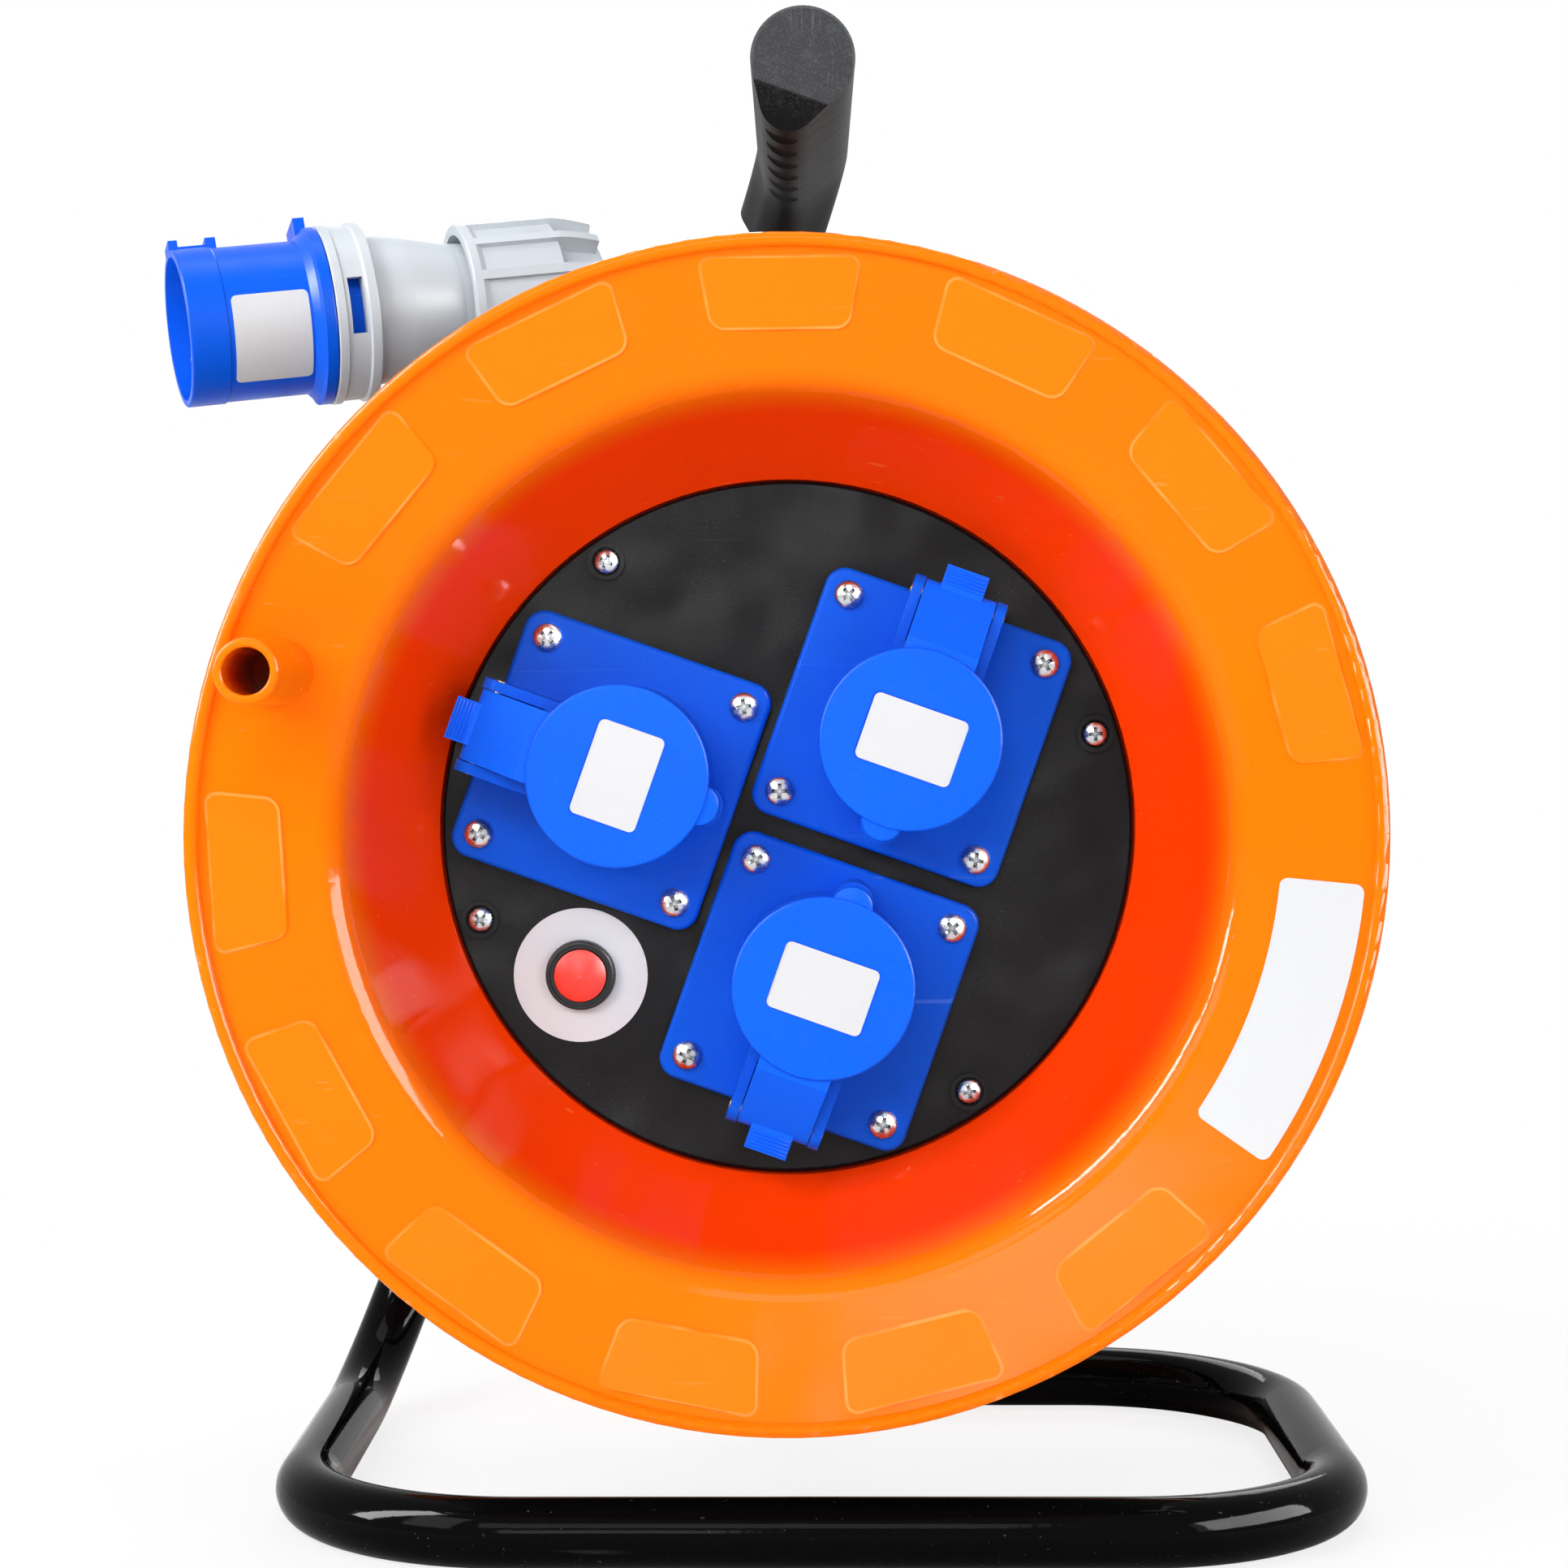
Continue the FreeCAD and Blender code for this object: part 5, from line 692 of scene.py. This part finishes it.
class REEL_OT_loose_lead(bpy.types.Operator):
    """Lead the cord's outer end to the plug, with a tapered sleeve in the cable nut"""

    bl_idname = "reel.loose_lead"
    bl_label = "Loose lead"

    def execute(self, context):
        cords = context.scene.reel_cords
        route = lead_route(cords)
        lead = rubber_cord("loose_lead", route, cords, "frame", 14, 5)
        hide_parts("cable_lead")
        sleeve = self.sleeve(cords.diameter / 2)
        return {"FINISHED"}

    def sleeve(self, cord_radius):
        """The sleeve round the cord: straight in the nut, then a taper with four grooves."""
        inside, outside, groove_depth = cord_radius - 0.0006, 0.0088, 0.0006
        start, end = NUT_GRIP_M, 0.1500
        profile = [(inside, start), (outside, start), (outside, 0.1332)]
        for groove in (0.1362, 0.1392, 0.1422, 0.1452):
            ridge = outside - (groove - 0.1330) * 0.16
            profile += [(ridge, groove - 0.0004), (ridge - groove_depth, groove), (ridge, groove + 0.0004)]
        profile += [(0.0062, 0.1490), (cord_radius + 0.0002, end), (inside, end)]
        bm = bmesh.new()
        turned_part(bm, profile + profile[:1], plug_frame(), 40)
        return finish_piece("lead_sleeve", bm, "frame", "seal_rubber")


# Screws, springs, nut and weld

# Each kind of screw: its shank's radius, its length under the head and its head's height
SCREW_KINDS = {
    "panel_screws": (1.75, 16, 2.4),
    "socket_screws": (1.75, 9, 2.4),
    "drum_screws": (2.5, 110, 3.0),
    "clamp_screws": (1.4, 5, 1.8),
}
SCREW_ORBIT = 93.0
PANEL_SCREW_ANGLES = (36.2, 143.8, 216.2, 323.8)
PLATE_SCREWS = ((-30, -30), (-30, 30), (30, -30), (30, 30))
PLATE_HEIGHT = 5
DRUM_SCREW_HEIGHT = -180
CLAMP_SCREWS = ((78.32, 61.17, 245.34), (59.2, 61.17, 236.18))


def cross_screw(bm, place, shank, reach, head, height):
    """A domed screw with a tapered cross recess and a grooved shank, standing on local XY."""
    profile = [(0, -reach), (shank * 0.45, -reach + 0.0006)]
    level, pitch = -reach + 0.0014, 0.0008
    while level < -2 * pitch:
        profile += [(shank * 0.8, level), (shank, level + pitch / 2)]
        level += pitch
    top = height * 0.92
    profile += [(shank, -0.0002), (shank, 0), (head * 0.97, 0), (head, height * 0.1),
                (head * 0.985, height * 0.34), (head * 0.9, height * 0.58), (head * 0.76, height * 0.79),
                (head * 0.6, top)]
    before = set(bm.verts)
    turned_part(bm, profile, Matrix.Identity(4), 24)
    rim = [edge for edge in bm.edges if edge.is_boundary
           and all(vert not in before and abs(vert.co.z - top) < 1e-7 for vert in edge.verts)]
    wide, long, taper, depth = head * 0.13, head * 0.52, 0.72, height * 0.55
    corner = [(long, -wide), (long, wide), (wide, wide)]
    outline = [bm.verts.new((*(Matrix.Rotation(QUARTER * quarter, 2) @ Vector(spot)), height))
               for quarter in range(4) for spot in corner]
    cross = [bm.edges.new((outline[index - 1], outline[index])) for index in range(len(outline))]
    bmesh.ops.bridge_loops(bm, edges=rim + cross)
    walls = bmesh.ops.extrude_edge_only(bm, edges=cross)["geom"]
    floor = [item for item in walls if isinstance(item, bmesh.types.BMVert)]
    bmesh.ops.scale(bm, vec=(taper, taper, 1), verts=floor)
    bmesh.ops.translate(bm, vec=(0, 0, -depth), verts=floor)
    floor_edges = [edge for edge in edges_of(walls) if all(vert in floor for vert in edge.verts)]
    bmesh.ops.contextual_create(bm, geom=floor_edges)
    bmesh.ops.transform(bm, matrix=place, verts=[vert for vert in bm.verts if vert not in before])


class REEL_OT_screws(bpy.types.Operator):
    """Put domed cross screws where the part has its plain ones"""

    bl_idname = "reel.screws"
    bl_label = "Cross screws"

    def execute(self, context):
        sizes = context.scene.reel_fasteners
        kinds = {
            "panel_screws": (sizes.small_head, self.panel_places()),
            "socket_screws": (sizes.socket_head, self.socket_places()),
            "drum_screws": (sizes.drum_head, self.drum_places()),
            "clamp_screws": (sizes.clamp_head, self.clamp_places()),
        }
        for name, (head, places) in kinds.items():
            shank, reach, height = SCREW_KINDS[name]
            bm = bmesh.new()
            for place in places:
                cross_screw(bm, place, shank * MM, reach * MM, head, height * MM)
            piece = finish_piece(f"cross_{name}", bm, "drum", "zinc_screws", 40)
            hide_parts(name)
        return {"FINISHED"}

    def on_orbit(self, angle, height):
        return moved(SCREW_ORBIT * math.cos(angle), SCREW_ORBIT * math.sin(angle), height)

    def panel_places(self):
        return [PANEL @ self.on_orbit(math.radians(angle), 0) @ turned(1.1 * index + 0.4)
                for index, angle in enumerate(PANEL_SCREW_ANGLES)]

    def socket_places(self):
        return [socket_frame(number) @ moved(x, y, PLATE_HEIGHT) @ turned(0.7 * index + 1.9 * number)
                for number in SOCKETS for index, (x, y) in enumerate(PLATE_SCREWS)]

    def drum_places(self):
        """Four, with their heads to the back."""
        facing_back = turned(math.pi, "X")
        return [DRUM @ self.on_orbit(QUARTER * index, DRUM_SCREW_HEIGHT) @ facing_back @ turned(0.9 * index)
                for index in range(4)]

    def clamp_places(self):
        return [moved(*spot) @ turned(QUARTER, "X") for spot in CLAMP_SCREWS]


class REEL_OT_springs(bpy.types.Operator):
    """Wind the lids' closing springs round their pins"""

    bl_idname = "reel.springs"
    bl_label = "Lid springs"

    def execute(self, context):
        wire = context.scene.reel_fasteners.spring_wire
        coils, coil_points, spring_length, coil_radius = 6, 12, 6.8, 2.45
        last = coils * coil_points
        for number in SOCKETS:
            place = socket_frame(number) @ moved(0, HINGE_BACK, HINGE_HEIGHT)
            points = []
            for index in range(last + 1):
                turn = math.tau * index / coil_points
                along = spring_length * (index / last - 0.5)
                points.append(place @ (
                    Vector((along, coil_radius * math.cos(turn), coil_radius * math.sin(turn))) * MM))
            curve = cord_curve(f"lid_spring_{number}", points, wire / 2, 2, 2)
            spring = show_piece(curve, "drum", "spring_steel")
            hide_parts(f"socket_{number}_spring")
        return {"FINISHED"}


class REEL_OT_stand_fittings(bpy.types.Operator):
    """Chamfer the axle's nut and weld the upright to the leaning leg"""

    bl_idname = "reel.stand_fittings"
    bl_label = "Nut and weld"

    def execute(self, context):
        self.nut(context.scene.reel_fasteners.nut_flats / 2)
        curve = cord_curve("weld_bead", self.weld_line(), 1.4 * MM, 5, 3)
        curve.data.splines[0].use_cyclic_u = True
        for index, point in enumerate(curve.data.splines[0].points):
            point.radius = 1.22 if index % 2 else 1.0
        show_piece(curve, "frame", "tube_paint")
        return {"FINISHED"}

    def nut(self, flats):
        """A round nut whose outside is pulled in to six flats, which leaves chamfered corners."""
        low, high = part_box("axle_nut")
        front, back = low.y - AXLE.y, high.y - AXLE.y
        bore, mouth, mouth_depth = 0.00515, 0.0058, 0.0007
        face, corner, chamfer = flats * 1.02, flats / math.cos(math.pi / 6), flats * 0.13
        rings = [(bore, front), (face, front), (corner, front + chamfer), (corner, back - chamfer),
                 (face, back), (mouth, back), (bore, back - mouth_depth), (bore, front)]
        bm = bmesh.new()
        for vert in turned_part(bm, rings, Matrix.Identity(4), 72):
            turn = math.atan2(vert.co.y, vert.co.x) + DRUM_TURN
            side = flats / math.cos((turn % (math.pi / 3)) - math.pi / 6)
            reach = math.hypot(vert.co.x, vert.co.y)
            if reach > side:
                vert.co.x *= side / reach
                vert.co.y *= side / reach
        bmesh.ops.transform(bm, matrix=Matrix.Translation(AXLE) @ turned(-QUARTER, "X"), verts=bm.verts)
        nut = finish_piece("chamfered_nut", bm, "frame", "zinc_axle", 30)
        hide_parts("axle_nut")

    def weld_line(self):
        """Control points of the bead round the upright's top, on the leaning leg's side."""
        back = (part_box("frame_tube")[1].y - RIM_Y_M) / MM - TUBE_RADIUS
        handle = AXLE.z / MM + HANDLE_RISE
        lean = math.atan2(LEG_SPREAD, handle - TUBE_RADIUS)
        leg_at_top = LEG_OFFSET - UPRIGHT_DROP * math.tan(lean)
        side_at_top = -leg_at_top * math.cos(lean) / (1 + math.cos(lean))
        reach = math.sqrt(TUBE_RADIUS ** 2 - side_at_top ** 2)
        points = []
        # Down one side of the upright and up the other
        for index in range(18):
            aside = -reach * math.cos(math.pi * index / 17)
            across = -math.sqrt(TUBE_RADIUS ** 2 - aside ** 2)
            leg = across * (1 + math.cos(lean)) / math.cos(lean)
            points.append(reel_point(across, back + aside, handle - (LEG_OFFSET - leg) / math.tan(lean)))
        # Back along the leg, over the top
        for index in range(1, 8):
            aside = reach * (1 - index / 4)
            across = leg_at_top + math.sqrt(TUBE_RADIUS ** 2 - aside ** 2) / math.cos(lean)
            points.append(reel_point(across, back + aside, handle - UPRIGHT_DROP))
        return points


# Labels and small details of the lids


def label_blank(bm, long, wide, corner, cuts):
    """A flat sheet with round corners on local XY, cut across so that it can follow a curve."""
    shape = Matrix.Diagonal((long, wide, 1, 1))
    bmesh.ops.create_grid(bm, x_segments=1, y_segments=1, size=0.5, matrix=shape)
    bmesh.ops.bevel(bm, geom=bm.verts[:], offset=corner, offset_type="OFFSET", segments=7, profile=0.5,
                    affect="VERTICES", material=-1)
    for size, count, normal in ((long, cuts[0], Vector((1, 0, 0))), (wide, cuts[1], Vector((0, 1, 0)))):
        for index in range(1, count):
            place = normal * (size * (index / count - 0.5))
            bmesh.ops.bisect_plane(bm, geom=whole(bm), plane_co=place, plane_no=normal)


def thicken(bm, thickness):
    bmesh.ops.recalc_face_normals(bm, faces=bm.faces)
    bmesh.ops.solidify(bm, geom=bm.faces[:], thickness=thickness)


class REEL_OT_labels(bpy.types.Operator):
    """Stick blank labels on the lids, the plug, the flange and round the reset button"""

    bl_idname = "reel.labels"
    bl_label = "Blank labels"

    def execute(self, context):
        for number in SOCKETS:
            self.lid_label(number)
        self.plug_label()
        self.flange_label()
        self.reset_disc()
        return {"FINISHED"}

    def lid_label(self, number):
        """Slightly wavy, and each lid's in its own way."""
        bm = bmesh.new()
        label_blank(bm, 27.9 * MM, 19.4 * MM, 1.8 * MM, (10, 7))
        thicken(bm, 0.14 * MM)
        for vert in bm.verts:
            vert.co.z += 0.05 * MM * math.sin(vert.co.x * 310 + number) * math.cos(vert.co.y * 240)
        place = socket_frame(number) @ moved(0.2, MOUTH_MIDDLE, 32.2)
        bmesh.ops.transform(bm, matrix=place, verts=bm.verts)
        finish_piece(f"lid_label_{number}", bm, f"lid_{number}", "label_vinyl")

    def plug_label(self):
        """Bent round the plug's collar, on the side that faces the front and a little down."""
        plug = plug_frame()
        downward, radius, along = math.radians(20), 23.62 * MM, 25.0 * MM
        facing = plug.to_3x3().inverted() @ Vector((0, -math.cos(downward), -math.sin(downward)))
        middle = math.atan2(facing.y, facing.x)
        bm = bmesh.new()
        label_blank(bm, 28.6 * MM, 23.4 * MM, 1.8 * MM, (20, 4))
        for vert in bm.verts:
            turn = middle + vert.co.x / radius
            vert.co = Vector((radius * math.cos(turn), radius * math.sin(turn), along + vert.co.y))
        thicken(bm, 0.13 * MM)
        bmesh.ops.transform(bm, matrix=plug, verts=bm.verts)
        finish_piece("plug_label", bm, "frame", "label_vinyl")

    def flange_label(self):
        """Bent along the flange's ring, and laid on its slope."""
        radius, sweep, middle = 147.5 * MM, math.radians(29.5), math.radians(-19.75) - DRUM_TURN
        ring_edge, ring_depth, ring_slope = 161.0 * MM, 2.75 * MM, 0.2182
        bm = bmesh.new()
        label_blank(bm, sweep * radius, 22.6 * MM, 2.4 * MM, (36, 6))
        for vert in bm.verts:
            turn = middle + vert.co.x / radius
            reach = radius + vert.co.y
            depth = ring_depth + (ring_edge - reach) * ring_slope
            vert.co = Vector((reach * math.cos(turn), reach * math.sin(turn), 0.32 * MM - depth))
        thicken(bm, 0.15 * MM)
        bmesh.ops.transform(bm, matrix=DRUM, verts=bm.verts)
        finish_piece("flange_label", bm, "drum", "label_vinyl")

    def reset_disc(self):
        """A ring round the reset button, with one raised crease near its outer edge."""
        inner, outer, low, high = 10.1, 19.4, 0.05 * MM, 0.2 * MM
        rings = [(inner + (outer - inner) * share / 8) * MM for share in range(9)]
        profile = [(radius, low) for radius in rings] + [(radius, high) for radius in reversed(rings)]
        bm = bmesh.new()
        turned_part(bm, profile + profile[:1], Matrix.Identity(4), 72)
        for vert in bm.verts:
            aside = (vert.co.x + 2.5 * MM - vert.co.y * 0.25) / (1.1 * MM)
            crease = math.exp(-aside ** 2) * max(0.0, vert.co.y / (outer * MM) - 0.5)
            vert.co.z += 0.9 * MM * crease
        bmesh.ops.transform(bm, matrix=PANEL @ moved(*RESET), verts=bm.verts)
        finish_piece("reset_disc", bm, "drum", "label_vinyl", sharp=60)


class REEL_OT_lid_details(bpy.types.Operator):
    """Mould the ribs on the lids' thumb tabs and the wide nose that covers each keyway"""

    bl_idname = "reel.lid_details"
    bl_label = "Lid ribs and noses"

    def execute(self, context):
        for number in SOCKETS:
            self.ribs(number)
            self.nose(number)
        return {"FINISHED"}

    def ribs(self, number):
        half, waist, end, round_end = 5.7, 0.42, 0.32, 5.5
        profile = [(0, -half), (end, -half), (waist, -round_end), (waist, round_end), (end, half), (0, half)]
        profile = [(radius * MM, height * MM) for radius, height in profile]
        bm = bmesh.new()
        for index in range(5):
            spot = moved(0, 42.0 + 1.05 * index, 21.38) @ turned(QUARTER, "Y")
            turned_part(bm, profile, socket_frame(number) @ spot, 10)
        finish_piece(f"thumb_ribs_{number}", bm, f"lid_{number}", "lid_blue")

    def nose(self, number):
        """A low round block, of which the side over the lid is cut away."""
        profile = [(0, 27.2), (5.9, 27.2), (5.9, 30.9), (5.7, 31.35), (5.25, 31.6), (0, 31.6)]
        middle, cut_at = -27.4, -27.7
        bm = bmesh.new()
        turned_part(bm, [(radius * MM, height * MM) for radius, height in profile], moved(0, middle, 0), 48)
        cut = bmesh.ops.bisect_plane(bm, geom=whole(bm), plane_co=(0, cut_at * MM, 0), plane_no=(0, 1, 0),
                                     clear_outer=True)
        bmesh.ops.holes_fill(bm, edges=edges_of(cut["geom_cut"]))
        bmesh.ops.transform(bm, matrix=socket_frame(number), verts=bm.verts)
        finish_piece(f"lid_nose_{number}", bm, f"lid_{number}", "lid_blue")


# Finishes of the part's own nodes


class REEL_OT_finishes(bpy.types.Operator):
    """Give every visible node of the part its finish"""

    bl_idname = "reel.finishes"
    bl_label = "Finishes"

    def execute(self, context):
        chosen = {name: finish for finish, names in NODE_FINISHES.items() for name in names}
        for number in SOCKETS:
            for finish, endings in SOCKET_FINISHES.items():
                chosen.update({f"socket_{number}_{ending}": finish for ending in endings})
        for name, finish in chosen.items():
            materials = frame["nodes"][name].data.materials
            materials.clear()
            materials.append(material_named(finish))
        shown = [name for name, node in frame["nodes"].items() if not node.hide_render]
        missing = [name for name in shown if name not in chosen]
        if missing:
            raise RuntimeError(f"nodes without a finish: {missing}")
        return {"FINISHED"}


# Studio

CAMERA_PLACE = (-0.00015, -1.0538, 0.2476)
CAMERA_SHIFT = (-0.0114, -0.060)
LAMPS_AIM = Vector((0, 0, 0.2))

# Each lamp: place, size, roll in degrees, power, and whether it lights surfaces or is only reflected in them
LAMPS = {
    "left_softbox": ((-0.85, -0.85, 0.8), (0.5, 0.8), 0, 11.0, True),
    "right_softbox": ((1.15, -1.25, 0.62), (0.5, 0.7), 0, 5.0, True),
    "front_softbox": ((-0.25, -1.7, 1.15), (0.9, 0.5), 0, 10.0, True),
    "top_softbox": ((0.0, 0.1, 1.8), (1.0, 0.6), 0, 8.0, True),
    "back_softbox": ((0.2, 1.5, 1.0), (1.0, 0.6), 0, 12.0, True),
    "right_window": ((1.25, -0.55, 0.62), (1.4, 0.7), 0, 150.0, False),
    "left_strip": ((-1.2, -0.42, 0.95), (0.3, 1.25), -14, 125.0, False),
    "camera_window": ((-0.25, -1.75, 0.5), (0.4, 0.3), 0, 4.0, False),
}


class REEL_OT_studio(bpy.types.Operator):
    """Set up the camera, the floor, the pale world and the soft lamps"""

    bl_idname = "reel.studio"
    bl_label = "Studio"

    def execute(self, context):
        scene = context.scene
        scene.view_settings.view_transform = "Standard"
        self.camera(scene)
        self.floor(scene)
        self.world(scene)
        self.lamps(scene)
        return {"FINISHED"}

    def camera(self, scene):
        data = bpy.data.cameras.new("studio_camera")
        data.sensor_width = 36
        data.lens = scene.reel_studio.lens
        data.shift_x, data.shift_y = CAMERA_SHIFT
        camera = bpy.data.objects.new("studio_camera", data)
        camera.location = CAMERA_PLACE
        camera.rotation_euler = (QUARTER, 0, 0)
        scene.collection.objects.link(camera)
        scene.camera = camera

    def floor(self, scene):
        """A pale floor that glows for the camera, so that only a faint shadow shows."""
        bm = bmesh.new()
        bmesh.ops.create_grid(bm, x_segments=4, y_segments=4, size=8)
        mesh = bpy.data.meshes.new("studio_floor")
        bm.to_mesh(mesh)
        bm.free()
        floor = bpy.data.objects.new("studio_floor", mesh)
        scene.collection.objects.link(floor)
        finish = Finish("studio_floor")
        finish.surface(scene.reel_studio.floor, 0.85, specular=0.2)
        seen = finish.node("ShaderNodeLightPath", output="Is Camera Ray")
        glow = finish.node("ShaderNodeEmission", {"Color": (1.0, 1.0, 1.0), "Strength": 1.0})
        x, y, _ = finish.axes()
        away = ((x ** 2.0 + y ** 2.0) ** 0.5).rise(0.25, 0.75)
        surface = Wire(finish, finish.shader.outputs[0])
        both = finish.node("ShaderNodeMixShader", {0: seen * (0.82 + away * 0.18), 1: surface, 2: glow})
        finish.plug(finish.result, both)
        mesh.materials.append(finish.material)

    def world(self, scene):
        """White for the camera and in reflections, and a grey light for surfaces."""
        world = bpy.data.worlds.new("pale_studio")
        world.use_nodes = True
        nodes = Nodes(world.node_tree)
        camera, glossy, through = (nodes.node("ShaderNodeLightPath", output=name) for name in (
            "Is Camera Ray", "Is Glossy Ray", "Is Transmission Ray"))
        tone = nodes.mix(camera.most(glossy).most(through), (0.3, 0.3, 0.3), (1, 1, 1))
        nodes.plug(nodes.tree.nodes["Background"].inputs["Color"], tone)
        scene.world = world

    def lamps(self, scene):
        for name, (place, size, roll, power, lights_surfaces) in LAMPS.items():
            lamp = bpy.data.lights.new(name, "AREA")
            lamp.shape = "RECTANGLE"
            lamp.size, lamp.size_y = size
            lamp.energy = power * scene.reel_studio.lamps
            holder = bpy.data.objects.new(name, lamp)
            holder.location = place
            aim = (LAMPS_AIM - Vector(place)).to_track_quat("-Z", "Y").to_matrix()
            holder.rotation_euler = (aim @ Matrix.Rotation(math.radians(roll), 3, "Z")).to_euler()
            holder.visible_diffuse = lights_surfaces
            scene.collection.objects.link(holder)


class REEL_PT_workshop(bpy.types.Panel):
    """The reel's pieces and sizes"""

    bl_label = "Cord reel"
    bl_idname = "REEL_PT_workshop"
    bl_space_type = "VIEW_3D"
    bl_region_type = "UI"
    bl_category = "Cord reel"

    def draw(self, context):
        for name, group, title in GROUPS:
            box = self.layout.box()
            box.label(text=title)
            for size in group.__annotations__:
                box.prop(getattr(context.scene, name), size)
        for operator in OPERATORS:
            self.layout.operator(operator.bl_idname)


OPERATORS = (REEL_OT_studio, REEL_OT_wound_cord, REEL_OT_labels, REEL_OT_loose_lead, REEL_OT_screws,
             REEL_OT_springs, REEL_OT_stand_fittings, REEL_OT_lid_details, REEL_OT_finishes)
GROUPS = (("reel_cords", ReelCordSizes, "Cords"), ("reel_fasteners", ReelFastenerSizes, "Fasteners"),
          ("reel_colours", ReelColours, "Colours"), ("reel_studio", ReelStudio, "Studio"))


def register():
    for name, group, _ in GROUPS:
        bpy.utils.register_class(group)
        setattr(bpy.types.Scene, name, PointerProperty(type=group))
    for operator in OPERATORS:
        bpy.utils.register_class(operator)
    bpy.utils.register_class(REEL_PT_workshop)


def unregister():
    bpy.utils.unregister_class(REEL_PT_workshop)
    for operator in reversed(OPERATORS):
        bpy.utils.unregister_class(operator)
    for name, group, _ in reversed(GROUPS):
        delattr(bpy.types.Scene, name)
        bpy.utils.unregister_class(group)


def main():
    register()
    bpy.ops.reel.studio()
    bpy.ops.reel.wound_cord()
    bpy.ops.reel.labels()
    bpy.ops.reel.loose_lead()
    bpy.ops.reel.screws()
    bpy.ops.reel.springs()
    bpy.ops.reel.stand_fittings()
    bpy.ops.reel.lid_details()
    bpy.ops.reel.finishes()


if __name__ == "__main__":
    main()
